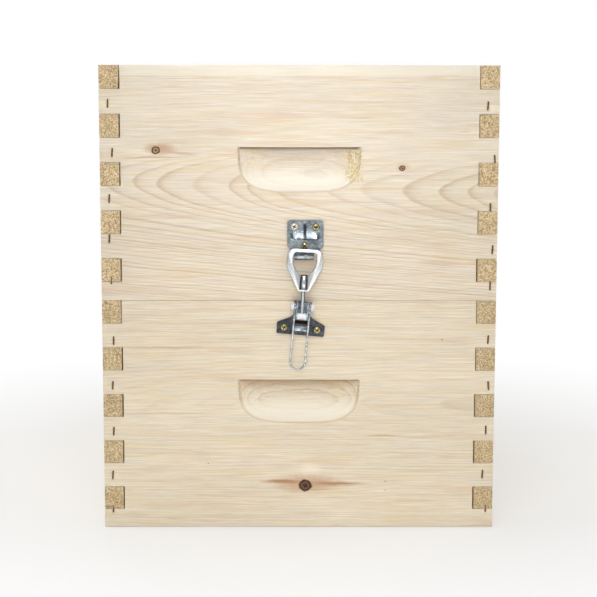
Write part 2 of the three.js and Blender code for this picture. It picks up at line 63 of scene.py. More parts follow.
# ------------------------------------------------------------------ node helper
class NT:
    """Short-hand for building shader trees."""
    def __init__(self, name):
        self.mat = bpy.data.materials.new(name)
        self.mat.use_nodes = True
        self.t = self.mat.node_tree
        for n in list(self.t.nodes):
            self.t.nodes.remove(n)
        self.out = self.t.nodes.new("ShaderNodeOutputMaterial")
        self.bsdf = self.t.nodes.new("ShaderNodeBsdfPrincipled")
        self.t.links.new(self.bsdf.outputs[0], self.out.inputs[0])
    def put(self, sock, v):
        if v is None:
            return
        if isinstance(v, bpy.types.NodeSocket):
            self.t.links.new(v, sock)
        else:
            sock.default_value = v
    def m(self, op, a, b=None, c=None, clamp=False):
        n = self.t.nodes.new("ShaderNodeMath")
        n.operation = op
        n.use_clamp = clamp
        self.put(n.inputs[0], a)
        if b is not None: self.put(n.inputs[1], b)
        if c is not None: self.put(n.inputs[2], c)
        return n.outputs[0]
    def add(self, a, b): return self.m("ADD", a, b)
    def sub(self, a, b): return self.m("SUBTRACT", a, b)
    def mul(self, a, b): return self.m("MULTIPLY", a, b)
    def div(self, a, b): return self.m("DIVIDE", a, b)
    def madd(self, a, b, c): return self.m("MULTIPLY_ADD", a, b, c)
    def clampv(self, a): return self.m("ADD", a, 0.0, clamp=True)
    def hyp(self, a, b): return self.m("SQRT", self.add(self.mul(a, a), self.mul(b, b)))
    def smooth(self, v, a, b, lo=0.0, hi=1.0):
        n = self.t.nodes.new("ShaderNodeMapRange")
        n.interpolation_type = "SMOOTHSTEP"
        self.put(n.inputs["Value"], v)
        n.inputs["From Min"].default_value = a
        n.inputs["From Max"].default_value = b
        n.inputs["To Min"].default_value = lo
        n.inputs["To Max"].default_value = hi
        return n.outputs[0]
    def vec(self, x, y, z):
        n = self.t.nodes.new("ShaderNodeCombineXYZ")
        for i, v in enumerate((x, y, z)):
            self.put(n.inputs[i], v)
        return n.outputs[0]
    def pos(self):
        c = self.t.nodes.new("ShaderNodeTexCoord")
        s = self.t.nodes.new("ShaderNodeVectorMath")
        s.operation = "SCALE"
        s.inputs["Scale"].default_value = 1000.0
        self.t.links.new(c.outputs["Object"], s.inputs[0])
        q = self.t.nodes.new("ShaderNodeSeparateXYZ")
        self.t.links.new(s.outputs[0], q.inputs[0])
        return q.outputs[0], q.outputs[1], q.outputs[2]
    def noise(self, v, scale=1.0, detail=2.0, rough=0.5, dist=0.0, dims="3D", w=None):
        n = self.t.nodes.new("ShaderNodeTexNoise")
        n.noise_dimensions = dims
        if dims != "1D":
            self.put(n.inputs["Vector"], v)
        if w is not None:
            self.put(n.inputs["W"], w)
        n.inputs["Scale"].default_value = scale
        n.inputs["Detail"].default_value = detail
        n.inputs["Roughness"].default_value = rough
        n.inputs["Distortion"].default_value = dist
        return n.outputs["Fac"]
    def ramp(self, v, stops, interp="LINEAR"):
        n = self.t.nodes.new("ShaderNodeValToRGB")
        r = n.color_ramp
        r.interpolation = interp
        while len(r.elements) > 1:
            r.elements.remove(r.elements[-1])
        r.elements[0].position = stops[0][0]
        r.elements[0].color = stops[0][1] if len(stops[0][1]) == 4 else (*stops[0][1], 1)
        for p, c in stops[1:]:
            e = r.elements.new(p)
            e.color = c if len(c) == 4 else (*c, 1)
        self.put(n.inputs[0], v)
        return n.outputs[0]
    def framp(self, v, stops, interp="LINEAR"):
        return self.ramp(v, [(p, (c, c, c)) for p, c in stops], interp)
    def mix(self, f, a, b, mode="MIX"):
        n = self.t.nodes.new("ShaderNodeMix")
        n.data_type = "RGBA"
        n.blend_type = mode
        self.put(n.inputs[0], f)
        self.put(n.inputs[6], a if not isinstance(a, tuple) or len(a) == 4 else (*a, 1))
        self.put(n.inputs[7], b if not isinstance(b, tuple) or len(b) == 4 else (*b, 1))
        return n.outputs[2]
    def scale_col(self, col, f):
        n = self.t.nodes.new("ShaderNodeVectorMath")
        n.operation = "SCALE"
        self.put(n.inputs[0], col)
        self.put(n.inputs["Scale"], f)
        return n.outputs[0]
    def normal(self):
        g = self.t.nodes.new("ShaderNodeTexCoord")
        q = self.t.nodes.new("ShaderNodeSeparateXYZ")
        self.t.links.new(g.outputs["Normal"], q.inputs[0])
        return q.outputs
    def bump(self, h, dist, strength=1.0, after=None):
        n = self.t.nodes.new("ShaderNodeBump")
        n.inputs["Strength"].default_value = strength
        n.inputs["Distance"].default_value = dist
        self.put(n.inputs["Height"], h)
        if after is not None:
            self.t.links.new(after, n.inputs["Normal"])
        self.t.links.new(n.outputs[0], self.bsdf.inputs["Normal"])
        return n.outputs[0]

def lin(r, g, b):
    f = lambda c: c / 255 / 12.92 if c / 255 <= 0.04045 else ((c / 255 + 0.055) / 1.055) ** 2.4
    return (f(r), f(g), f(b))

# ------------------------------------------------------------------ pine
PALE, TAN, DEEP = lin(239, 229, 213), lin(209, 183, 149), lin(178, 138, 100)
END_A, END_B = lin(231, 210, 170), lin(164, 132, 92)

def pine(name, grain, out, face, w0, d0=70.0, slope=0.0, lean=0.0, ring=3.4, knots=(), tint=(1, 1, 1), contrast=1.0,
         streaks=(), chips=(), end_tint=1.0, seed=0.0, wave=6.0, ringy=1.0, hold=None, hold_shadow=0.0, behind=1.0, above=None, band=None, gloss=(0.46, 0.62), bowl=1.4, level=0.0, torn=None):
    """Solid wood. grain: axis the fibres run along (0 x, 1 y, 2 z); out: (axis, sign) of the outward face at coordinate
    face; rings are centred on a pith line d0 from the face at height w0 (behind it when behind is -1), coming nearer by slope per millimetre."""
    n = NT(name)
    P = n.pos()
    u = P[grain]
    oax, osg = out
    depth = n.mul(n.sub(P[oax], face), -osg)          # millimetres into the board
    hax = [a for a in (0, 1, 2) if a not in (grain, oax)][0]
    w = P[hax]
    soft = n.vec(n.madd(u, 0.0045, seed), n.mul(depth, 0.012), n.mul(w, 0.014))
    n1 = n.sub(n.noise(soft, 1.0, 2.0, 0.5), 0.5)
    mid = n.vec(n.madd(u, 0.016, seed + 5.3), n.mul(depth, 0.03), n.mul(w, 0.05))
    n2 = n.sub(n.noise(mid, 1.0, 2.0, 0.55), 0.5)
    tiny = n.sub(n.noise(n.vec(n.madd(u, 0.05, seed + 2.1), n.mul(depth, 0.2), n.mul(w, 0.25)), 1.0, 2.0, 0.5), 0.5)
    d = n.add(n.madd(u, -slope, d0), n.add(n.mul(depth, behind), n.mul(n1, wave * 2.4)))
    if level: d = n.add(d, n.mul(n.mul(u, depth), level))
    h0 = n.sub(n.sub(w, w0), n.mul(u, lean))
    h = n.add(h0, n.add(n.mul(n1, wave * 1.6), n.add(n.mul(n2, 3.4), n.mul(tiny, 0.8))))
    # rings bend round each knot
    for (kx, kz, kr, kind) in knots:
        dx, dz = n.sub(u, kx), n.sub(w, kz)
        q = n.hyp(n.mul(dx, 0.30), dz)
        push = n.m("EXPONENT", n.mul(n.mul(q, q), -1.0 / (2 * (kr * 1.7) ** 2)))
        sgn = n.m("TANH", n.mul(dz, 1.0 / kr))
        h = n.sub(h, n.mul(n.mul(push, sgn), kr * 0.95))
    r = n.hyp(d, h)
    rv = n.noise(None, 0.09, 2.0, 0.6, dims="1D", w=n.add(r, seed * 31))
    phase = n.add(n.div(r, ring), n.mul(n.sub(rv, 0.5), 2.4))
    f = n.m("FRACT", phase)
    late = n.framp(f, [(0.0, 0.08), (0.05, 0.0), (0.45, 0.05), (0.72, 0.34), (0.86, 0.92), (0.93, 1.0), (0.97, 0.6), (1.0, 0.08)])
    rid = n.m("FLOOR", phase)
    strength = n.smooth(n.noise(None, 1.0, 0.0, 0.5, dims="1D", w=n.madd(rid, 3.17, seed)), 0.25, 0.75, 0.4, 1.0)
    if above is not None:
        strength = n.mul(strength, n.smooth(h0, above[0], above[1], 1.0, above[2]))
    late = n.mul(late, strength)
    if hold is not None:
        late = n.mul(late, n.smooth(depth, 0.8, 3.5, 1.0, bowl))
    # fibres
    fib = n.noise(n.vec(n.madd(u, 0.010, seed), n.mul(depth, 0.55), n.mul(n.add(w, n.mul(n2, 2.0)), 0.80)), 1.0, 4.0, 0.66)
    fib2 = n.noise(n.vec(n.madd(u, 0.05, seed + 9), n.mul(depth, 2.6), n.mul(w, 2.9)), 1.0, 3.0, 0.6)
    broad = n.noise(n.vec(n.madd(u, 0.0042, seed + 3), n.mul(depth, 0.02), n.mul(w, 0.021)), 1.0, 3.0, 0.55)
    streaky = n.noise(n.vec(n.madd(u, 0.0065, seed + 13), n.mul(depth, 0.06), n.mul(n.add(w, n.mul(n1, 8.0)), 0.125)), 1.0, 3.0, 0.6)
    amt = n.clampv(n.mul(n.add(n.mul(late, 0.44 * ringy), n.mul(n.smooth(fib, 0.44, 0.74), 0.44)), contrast))
    c = n.mix(amt, PALE, TAN)
    c = n.mix(n.clampv(n.mul(n.mul(late, n.smooth(fib, 0.40, 0.72, 0.35, 1.0)), 0.38 * contrast * ringy)), c, DEEP)
    # pinkish streaks
    c = n.mix(n.mul(n.smooth(streaky, 0.50, 0.70), 0.42 * contrast), c, lin(222, 186, 158))
    c = n.scale_col(c, n.smooth(broad, 0.25, 0.75, 0.945, 1.035))
    c = n.scale_col(c, n.smooth(fib2, 0.25, 0.75, 0.94, 1.04))
    # finer fibre lines, and warmer streaks between them
    fib3 = n.noise(n.vec(n.madd(u, 0.026, seed + 17), n.mul(depth, 1.0), n.mul(n.add(w, n.mul(n2, 2.0)), 1.05)), 1.0, 3.0, 0.7)
    warm = n.noise(n.vec(n.madd(u, 0.011, seed + 23), n.mul(depth, 0.3), n.mul(w, 0.34)), 1.0, 3.0, 0.6)
    c = n.scale_col(c, n.smooth(fib3, 0.28, 0.72, 0.865, 1.075))
    c = n.mix(n.mul(n.smooth(warm, 0.46, 0.66), 0.42), c, lin(228, 204, 152))
    if band is not None:
        c = n.mix(n.mul(n.smooth(w, band[0], band[1]), band[2]), c, lin(247, 240, 226))
    if hold is not None:
        # painted shade: a dark line just under the straight top edge of the hand hold, where the overhang shades the
        # bowl
        under = n.mul(n.smooth(n.sub(hold, w), 0.2, 3.4, 1.0, 0.0), n.smooth(depth, 1.0, 5.0))
        c = n.mix(n.mul(under, 0.93), c, lin(104, 66, 32))
        # painted shadow: a soft brown shade fading down from the hand hold's top edge, scaled per board
        hold_shadow_mask = n.mul(n.smooth(n.sub(hold, w), 1.0, 13.0, 1.0, 0.0), n.smooth(depth, 1.5, 8.0))
        c = n.mix(n.mul(hold_shadow_mask, hold_shadow), c, lin(168, 132, 78))
        # painted highlight: the lower part of the hand hold's bowl, which faces up to the light, made paler
        bowl_light = n.mul(n.smooth(n.sub(hold, w), 14.0, 36.0), n.smooth(depth, 0.8, 3.0))
        c = n.mix(n.mul(bowl_light, 0.75), c, lin(253, 248, 236))
    if torn is not None:
        # fibres the cutter tore out at one end of the hand hold
        tx0, tx1, tz0, tz1 = torn
        wt = n.mul(n.sub(n.noise(n.vec(n.mul(u, 0.16), n.mul(depth, 0.1), n.mul(w, 0.16)), 1.0, 3.0, 0.6), 0.5), 14.0)
        ux, wz = n.add(u, wt), n.add(w, wt)
        mask = n.mul(n.mul(n.smooth(ux, tx0 - 3.0, tx0 + 7.0), n.smooth(ux, tx1 - 3.0, tx1 + 2.0, 1.0, 0.0)), n.mul(n.smooth(wz, tz0 - 3.0, tz0 + 6.0), n.smooth(wz, tz1 - 2.0, tz1 + 1.5, 1.0, 0.0)))
        grit = n.noise(n.vec(n.mul(u, 0.85), n.mul(depth, 0.5), n.mul(w, 0.50)), 1.0, 3.0, 0.7)
        tc = n.mix(n.smooth(grit, 0.47, 0.56), lin(196, 166, 96), lin(252, 246, 220))
        c = n.mix(n.mul(mask, n.smooth(grit, 0.40, 0.46, 0.95, 0.62)), c, tc)
    # resin streaks: thin lines along the grain
    for (x0, z0_, sx, sz, col, k) in streaks:
        wob = n.mul(n.sub(n.noise(n.vec(n.mul(u, 0.05), 0.0, seed), 1.0, 2.0), 0.5), 3.0)
        q = n.hyp(n.mul(n.sub(u, x0), 1.0 / sx), n.mul(n.add(n.sub(w, z0_), wob), 1.0 / sz))
        c = n.mix(n.mul(n.mul(n.smooth(q, 0.15, 1.0, 1.0, 0.0), n.smooth(fib, 0.3, 0.62, 0.45, 1.0)), k), c, lin(*col))
    # knots
    bump_knot = None
    for (kx, kz, kr, kind) in knots:
        dx, dz = n.sub(u, kx), n.sub(w, kz)
        wob = n.mul(n.sub(n.noise(n.vec(n.mul(u, 0.22), n.mul(depth, 0.1), n.mul(w, 0.22)), 1.0, 2.0), 0.5), kr * 0.5)
        q = n.add(n.hyp(n.mul(dx, 0.94), dz), wob)
        hx = {"ring": 0.36, "small": 0.5, "big": 0.26}[kind]
        hk = {"ring": 0.66, "small": 0.34, "big": 0.62}[kind]
        halo_q = n.hyp(n.mul(n.sub(dx, kr * (0.9 if kind == "ring" else 0.3)), hx), n.mul(n.sub(dz, kr * 0.35), 0.9))
        c = n.mix(n.mul(n.smooth(n.add(halo_q, wob), kr * 0.4, kr * 1.75, hk, 0.0), n.smooth(fib, 0.25, 0.6, 0.6, 1.0)), c, lin(184, 128, 74))
        ringk = n.m("SINE", n.mul(q, 10.0 / kr))
        core = n.mix(n.smooth(ringk, -0.4, 0.9), lin(176, 134, 92) if kind != "big" else lin(112, 72, 44), lin(108, 70, 42) if kind != "big" else lin(64, 38, 24))
        c = n.mix(n.smooth(q, kr * 0.70, kr * 0.92, 1.0, 0.0), c, core)
        rim = n.mul(n.smooth(q, kr * 0.56, kr * 0.74), n.smooth(q, kr * 0.84, kr * 1.04, 1.0, 0.0))
        c = n.mix(n.mul(rim, 0.95), c, lin(48, 28, 18))
        crack = n.mul(n.smooth(n.m("ABSOLUTE", n.add(n.mul(dx, 0.5), dz)), 0.25, 0.7, 1.0, 0.0), n.smooth(q, kr * 0.3, kr * 0.6, 1.0, 0.0))
        c = n.mix(n.mul(crack, 0.85 if kind == "big" else 0.5), c, lin(30, 16, 10))
        kb = n.smooth(q, kr * 0.75, kr * 1.05, 0.0, 1.0)
        bump_knot = kb if bump_knot is None else n.mul(bump_knot, kb)
    # splintered pale chips
    for (x0, z0_, sx, sz, col) in chips:
        qx = n.smooth(n.m("ABSOLUTE", n.sub(u, x0)), sx * 0.82, sx, 1.0, 0.0)
        wobz = n.mul(n.sub(n.noise(n.vec(n.mul(u, 0.5), 0.0, seed), 1.0, 1.0), 0.5), 2.4)
        qz = n.smooth(n.m("ABSOLUTE", n.add(n.sub(w, z0_), wobz)), sz * 0.8, sz, 1.0, 0.0)
        c = n.mix(n.mul(n.mul(qx, qz), 0.85), c, lin(*col))
    # end grain, where a face lies across the fibres
    N = n.normal()
    across = n.smooth(n.m("ABSOLUTE", N[grain]), 0.72, 0.92)
    pore = n.noise(n.vec(n.mul(P[hax], 0.62), n.mul(depth, 0.62), n.madd(u, 0.02, seed)), 1.0, 4.0, 0.85)
    pore2 = n.noise(n.vec(n.mul(P[hax], 0.16), n.mul(depth, 0.16), seed), 1.0, 2.0, 0.6)
    ecol = n.mix(n.clampv(n.add(n.mul(late, 0.30), n.smooth(pore, 0.46, 0.58, 0.0, 0.92))), tuple(v * end_tint for v in END_A), tuple(v * end_tint for v in END_B))
    ecol = n.mix(n.smooth(pore, 0.46, 0.38, 0.0, 0.7), ecol, lin(234, 222, 198))
    ecol = n.scale_col(ecol, n.smooth(pore2, 0.3, 0.7, 0.90, 1.08))
    c = n.mix(across, c, ecol)
    tn = n.t.nodes.new("ShaderNodeVectorMath"); tn.operation = "MULTIPLY"
    n.put(tn.inputs[0], c); tn.inputs[1].default_value = tint
    n.put(n.bsdf.inputs["Base Color"], tn.outputs[0])
    n.put(n.bsdf.inputs["Roughness"], n.add(n.mul(across, 0.25), n.smooth(fib, 0.2, 0.8, gloss[0], gloss[1])))
    n.bsdf.inputs["Specular IOR Level"].default_value = 0.42
    hgt = n.add(n.mul(fib2, 0.45), n.add(n.mul(fib, 0.5), n.mul(late, 0.28)))
    hgt = n.add(hgt, n.mul(n.mul(across, pore), 1.4))
    if bump_knot is not None:
        hgt = n.add(hgt, n.mul(bump_knot, 1.0))
    n.bump(hgt, 0.00020, 0.7)
    return n.mat

# ------------------------------------------------------------------ metals
def metal(name, base, dark, rough=(0.28, 0.45), scale=0.5, spangle=0.0, scratch=0.25, edge=0.0, metallic=1.0, stain=None, turn=(0.55, 0.93)):
    n = NT(name)
    P = n.pos()
    v = n.vec(P[0], P[1], P[2])
    a = n.noise(v, scale, 4.0, 0.6)
    b = n.noise(v, scale * 6, 3.0, 0.65)
    s = n.noise(n.vec(n.mul(P[0], 4.0), n.mul(P[1], 4.0), n.mul(P[2], 0.35)), 1.0, 2.0, 0.6)
    c = n.mix(n.smooth(a, 0.32, 0.70), base, dark)
    c = n.scale_col(c, n.smooth(b, 0.2, 0.8, 0.90, 1.08))
    if spangle:
        vo = n.t.nodes.new("ShaderNodeTexVoronoi")
        n.put(vo.inputs["Vector"], v)
        vo.inputs["Scale"].default_value = spangle
        sp = n.t.nodes.new("ShaderNodeSeparateColor")
        n.t.links.new(vo.outputs["Color"], sp.inputs[0])
        c = n.scale_col(c, n.smooth(sp.outputs[0], 0.0, 1.0, 0.86, 1.10))
    if stain:
        c = n.mix(n.smooth(n.noise(v, 0.28, 3.0, 0.6), 0.52, 0.72, 0.0, 0.5), c, stain)
    if edge:
        # painted shade: darker where the surface turns away from the front face, in place of the shadow and dark
        # reflections along edges and sides
        c = n.scale_col(c, n.smooth(n.m("ABSOLUTE", n.normal()[1]), turn[0], turn[1], 1.0 - edge, 1.0))
    n.put(n.bsdf.inputs["Base Color"], c)
    n.bsdf.inputs["Metallic"].default_value = metallic
    n.put(n.bsdf.inputs["Roughness"], n.smooth(n.add(n.mul(a, 0.5), n.mul(b, 0.5)), 0.3, 0.7, rough[0], rough[1]))
    n.bump(n.add(n.mul(s, scratch), n.mul(b, 0.4)), 0.00006, 0.6)
    return n.mat

# ------------------------------------------------------------------ mesh helpers (all in millimetres)
def obj_from(name, verts, faces, smooth=False):
    me = bpy.data.meshes.new(name)
    me.from_pydata([tuple(c * MM for c in v) for v in verts], [], faces)
    me.validate()
    bm = bmesh.new(); bm.from_mesh(me)
    bmesh.ops.remove_doubles(bm, verts=bm.verts, dist=1e-7)
    bmesh.ops.recalc_face_normals(bm, faces=bm.faces)
    bm.to_mesh(me); bm.free()
    o = bpy.data.objects.new(name, me)
    COL.objects.link(o)
    if smooth:
        for p in me.polygons: p.use_smooth = True
    return o

def apply_mods(o):
    bpy.context.view_layer.update()
    dg = bpy.context.evaluated_depsgraph_get()
    me = bpy.data.meshes.new_from_object(o.evaluated_get(dg), preserve_all_data_layers=True, depsgraph=dg)
    old = o.data
    o.modifiers.clear()
    o.data = me
    me.name = o.name
    return o

def bevel(o, width, seg=2, angle=30, apply=True):
    b = o.modifiers.new("bevel", "BEVEL")
    b.width = width * MM; b.segments = seg; b.limit_method = "ANGLE"; b.angle_limit = math.radians(angle)
    b.use_clamp_overlap = True; b.harden_normals = False
    return apply_mods(o) if apply else o

def cut(o, cutter, op="DIFFERENCE", keep=False):
    b = o.modifiers.new("bool", "BOOLEAN")
    b.operation = op; b.object = cutter; b.solver = "EXACT"
    apply_mods(o)
    if not keep:
        bpy.data.objects.remove(cutter)
    return o

def prism_xz(outline, y0, y1, name):
    """Outline in (x, z), thick along y."""
    n = len(outline)
    verts = [(x, y0, z) for x, z in outline] + [(x, y1, z) for x, z in outline]
    faces = [list(range(n))[::-1], list(range(n, 2 * n))] + [[i, (i + 1) % n, n + (i + 1) % n, n + i] for i in range(n)]
    return obj_from(name, verts, faces)

def box_obj(name, x0, x1, y0, y1, z0, z1):
    return prism_xz([(x0, z0), (x1, z0), (x1, z1), (x0, z1)], y0, y1, name)

def smooth_by_angle(o, deg=32):
    me = o.data
    bm = bmesh.new(); bm.from_mesh(me)
    lim = math.radians(deg)
    for e in bm.edges:
        e.smooth = not (len(e.link_faces) == 2 and e.calc_face_angle(0) > lim)
    for f in bm.faces: f.smooth = True
    bm.to_mesh(me); bm.free()
    return o

def set_mat(o, *mats):
    faces = o.data.polygons
    index = [min(p.material_index, len(mats) - 1) for p in faces]   # clearing the slots would reset these
    o.data.materials.clear()
    for m in mats: o.data.materials.append(m)
    faces.foreach_set("material_index", index)
    o.data.update()

def finish_piece(o, body, replaces=(), mat=None):
    if mat is not None: set_mat(o, mat)
    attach(o, body)
    if replaces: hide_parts(*replaces)
    return o

# ------------------------------------------------------------------ hand hold cutter
def scoop(name, half=64.0, high=47.0, deep=12.3, power=3.5, nx=72, nz=26, rough_end=0.0):
    """Solid to be cut away for a hand hold: flat top at z = 0, bowl below it, mouth at y = 0 facing -y, centred on x = 0."""
    verts, faces, idx = [], [], {}
    lr = random.Random(11)
    for j in range(nz + 1):
        for i in range(nx + 1):
            # polar style parameters on the half super-ellipse
            a = math.pi * i / nx            # 0 right end .. pi left end
            rho = j / nz
            ca, sa = math.cos(a), math.sin(a)
            k = (abs(ca) ** power + abs(sa) ** power) ** (-1 / power)
            x, z = ca * k * rho * half, -sa * k * rho * high
            dep = deep * math.sqrt(max(0.0, 1 - rho ** 2)) ** 0.92
            # faint chatter marks left by the cutter
            dep -= 0.10 * math.sin(x * 0.55 + 0.6 * math.sin(z * 0.3)) * (1 - rho)
            if rough_end:
                t = max(0.0, min(1.0, (x / half - 0.72) / 0.22)) * (1 - rho ** 6)
                dep += rough_end * t * (lr.random() - 0.45) * 2.4
            idx[(i, j)] = len(verts)
            verts.append((x, dep, z))
    for j in range(nz):
        for i in range(nx):
            faces.append([idx[(i, j)], idx[(i + 1, j)], idx[(i + 1, j + 1)], idx[(i, j + 1)]])
    # mouth: extend outward past the face
    base = len(verts)
    for i in range(nx + 1):
        x, y, z = verts[idx[(i, nz)]]
        verts.append((x * 1.0, -6.0, z))
    for i in range(nx):
        faces.append([idx[(i, nz)], idx[(i + 1, nz)], base + i + 1, base + i])
    faces.append([base + i for i in range(nx + 1)])
    # flat top at z = 0 joins the two ends through the bowl's profile
    top = [base + 0] + [idx[(0, j)] for j in range(nz, -1, -1)] + [idx[(nx, j)] for j in range(1, nz + 1)] + [base + nx]
    faces.append(top)
    return obj_from(name, verts, faces)

# ------------------------------------------------------------------ boards
def spans_side():
    return [(LOWF + PITCH * i, LOWF + PITCH * i + FING) for i in range(5)]

# gap at the bottom of each notch of a front or back board, lowest finger first: (left, right)
GAPS = {"upper": ((1.4, 1.4, 1.3, 1.4, 1.5), (1.5, 0.8, 0.6, 0.6, 0.6)), "lower": ((1.3, 1.4, 1.4, 1.4, 0.7), (1.5, 1.4, 1.2, 0.8, 0.6))}

def end_outline(level):
    """Front or back board outline: notches where the side boards' fingers are."""
    g, z0 = 0.15, Z0[level]
    def edge(gaps):
        pts = [(XH, z0)]
        for i, (a, c) in enumerate(spans_side()):
            a2, c2, n = z0 + a - g, z0 + c + g, T + gaps[i]
            if c > H - 1: pts += [(XH, a2), (XH - n, a2), (XH - n, z0 + H)]
            else: pts += [(XH, a2), (XH - n, a2), (XH - n, c2), (XH, c2)]
        return pts
    return edge(GAPS[level][1]) + [(-x, z) for x, z in edge(GAPS[level][0])][::-1]

def side_outline(z0):
    """Side board outline in (y, z)."""
    g, n = 0.15, T + 0.4
    ends = [(0.0, LOWF)] + [(LOWF + FING + PITCH * i, LOWF + PITCH * (i + 1)) for i in range(4)]
    back = []
    for a, c in ends:
        lo = z0 + (a - g if a > 1 else 0)
        hi = z0 + c + g
        if a < 1:
            back += [(YB - n, lo), (YB - n, hi), (YB, hi)]
        else:
            back += [(YB, lo), (YB - n, lo), (YB - n, hi), (YB, hi)]
    back.append((YB, z0 + H))
    front = [(2 * YC - y, z) for y, z in back][::-1]
    return back + front

def px_to_world(px, py):
    """A point of the front face from a place on the drawing grid used to lay the front out."""
    sx = 0.983 - (py - 68) / 456 * 0.040
    z = 488.2 - (py - 67.5) / 0.957 if py < 300 else 244.0 - (py - 300.5) / 0.934
    cx = 300.2 - (py - 68) / 456 * 2.4
    return (px - cx) / sx, z

left_px = [(106.5, 105), (111, 153.5), (108, 199), (108, 239), (110, 280.5), (112, 340.5), (111, 385), (112, 431), (111, 475.5), (111.5, 509.5)]
right_px = [(490.5, 107), (497, 159.5), (492.3, 207.5), (494.3, 249.5), (491.7, 286.3), (489.5, 339), (489.5, 385), (486.7, 429.6), (483, 474.5), (486, 509)]
front_staples = [px_to_world(*p) for p in left_px + right_px]

def staple_cutters(name, pts, y, sgn):
    verts, faces = [], []
    lr = random.Random(3)
    for (x, z) in pts:
        hw, hh = 1.45, 5.4
        b = len(verts)
        n = 12
        for yy in (y - sgn * 1.5, y + sgn * 0.9):
            for i in range(n):
                a = 2 * math.pi * i / n
                ex = hw * math.copysign(abs(math.cos(a)) ** 0.7, math.cos(a))
                ez = hh * math.copysign(abs(math.sin(a)) ** 0.45, math.sin(a))
                verts.append((x + ex, yy, z + ez))
        faces.append([b + i for i in range(n)])
        faces.append([b + n + i for i in range(n)][::-1])
        for i in range(n):
            faces.append([b + i, b + n + i, b + n + (i + 1) % n, b + (i + 1) % n])
    return obj_from(name, verts, faces)

def make_end_board(level, which):
    z0 = Z0[level]
    name = f"{level}_{which}_board_wood"
    ya, yb = (YF, YF + T) if which == "front" else (YB - T, YB)
    o = prism_xz(end_outline(level), ya, yb, name)
    bevel(o, 0.45, 2)
    # frame rest
    if which == "front":
        rab = box_obj("c", -XH - 9, XH + 9, YF + T - 9.5, YF + T + 9, z0 + H - 19, z0 + H + 9)
    else:
        rab = box_obj("c", -XH - 9, XH + 9, YB - T - 9, YB - T + 9.5, z0 + H - 19, z0 + H + 9)
    cut(o, rab)
    s = scoop("c", rough_end=1.0 if (which == "front" and level == "upper") else 0.0)
    if which == "front":
        s.location = Vector((0, YF, z0 + H - 84)) * MM
    else:
        s.rotation_euler = (0, 0, math.pi); s.location = Vector((0, YB, z0 + H - 84)) * MM
    cut(o, s)
    pts = [p for p in front_staples if z0 <= p[1] < z0 + H]
    if which == "back":
        pts = [(-x, z) for x, z in pts]
    cut(o, staple_cutters("c", pts, YF if which == "front" else YB, 1 if which == "front" else -1))
    smooth_by_angle(o, 24)
    return o

def make_side_board(level, which):
    z0 = Z0[level]
    name = f"{level}_{which}_board_wood"
    sg = 1 if which == "right" else -1
    pts = side_outline(z0)
    n = len(pts)
    xa, xb = (XH - T, XH) if sg > 0 else (-XH, -XH + T)
    verts = [(xa, y, z) for y, z in pts] + [(xb, y, z) for y, z in pts]
    faces = [list(range(n)), list(range(n, 2 * n))[::-1]] + [[i, (i + 1) % n, n + (i + 1) % n, n + i] for i in range(n)]
    o = obj_from(name, verts, faces)
    bevel(o, 0.45, 2)
    s = scoop("c")
    s.rotation_euler = (0, 0, math.pi / 2 if sg > 0 else -math.pi / 2)
    s.location = Vector((sg * XH, YC, z0 + H - 84)) * MM
    cut(o, s)
    smooth_by_angle(o, 24)
    return o

W = px_to_world
k1, k2, k3 = W(155, 151), W(403.5, 168.5), W(304.5, 486)
m_uf = pine("pine_upper_front", 0, (1, -1), YF, w0=W(300, 186.3)[1], d0=85.0, slope=0.063, lean=-0.028, ring=2.25, seed=1.7, wave=1.7, hold=Z0["upper"] + H - 84, behind=-1.0, ringy=1.10, bowl=1.0, level=0.0040, hold_shadow=0.12, torn=(W(345, 168)[0], W(363.5, 168)[0], W(350, 184)[1], W(350, 150.5)[1]), tint=(0.985, 0.98, 0.955),
            above=(4.0, 42.0, 0.16), band=(Z0["upper"] + H - 11.5, Z0["upper"] + H - 9.5, 0.55),
            knots=[(k1[0], k1[1], 4.4, "ring"), (k2[0], k2[1], 3.2, "small")],
            chips=[(*W(498, 109.5), 6, 3.8, (246, 234, 208)), (*W(102.5, 106), 5, 4, (240, 226, 198))],
            streaks=[(*W(180, 153.5), 26, 2.0, (196, 148, 104), 0.85), (*W(150, 158), 44, 1.6, (200, 156, 114), 0.65), (*W(355, 172), 8, 17, (226, 206, 150), 0.40),
                     (*W(466, 132), 12, 0.8, (178, 140, 104), 0.6)])
m_lf = pine("pine_lower_front", 0, (1, -1), YF, w0=W(300, 408)[1], d0=62, slope=0.012, lean=0.010, ring=2.4, seed=8.2, wave=5.0, contrast=0.90, ringy=0.5, bowl=2.6, hold=Z0["lower"] + H - 84, hold_shadow=0.50, behind=-1.0,
            knots=[(k3[0], k3[1], 7.0, "big")], tint=(1.0, 0.985, 0.93),
            streaks=[(*W(384, 435.5), 28, 1.7, (208, 160, 84), 0.85), (*W(281, 482), 30, 3.4, (168, 116, 72), 0.95), (*W(338, 484), 40, 3.2, (168, 116, 72), 0.9), (*W(309, 470), 16, 9, (250, 240, 222), 0.7),
                     (*W(160, 347), 70, 2.2, (206, 164, 132), 0.65), (*W(170, 413), 60, 1.6, (206, 168, 136), 0.5), (*W(443, 339), 1.6, 1.4, (150, 104, 70), 0.8),
                     (*W(207, 464), 1.4, 1.2, (120, 84, 60), 0.8), (*W(385, 482), 1.6, 1.1, (120, 84, 60), 0.7), (*W(385, 491), 1.4, 1.0, (120, 84, 60), 0.7)])
m_side = {}
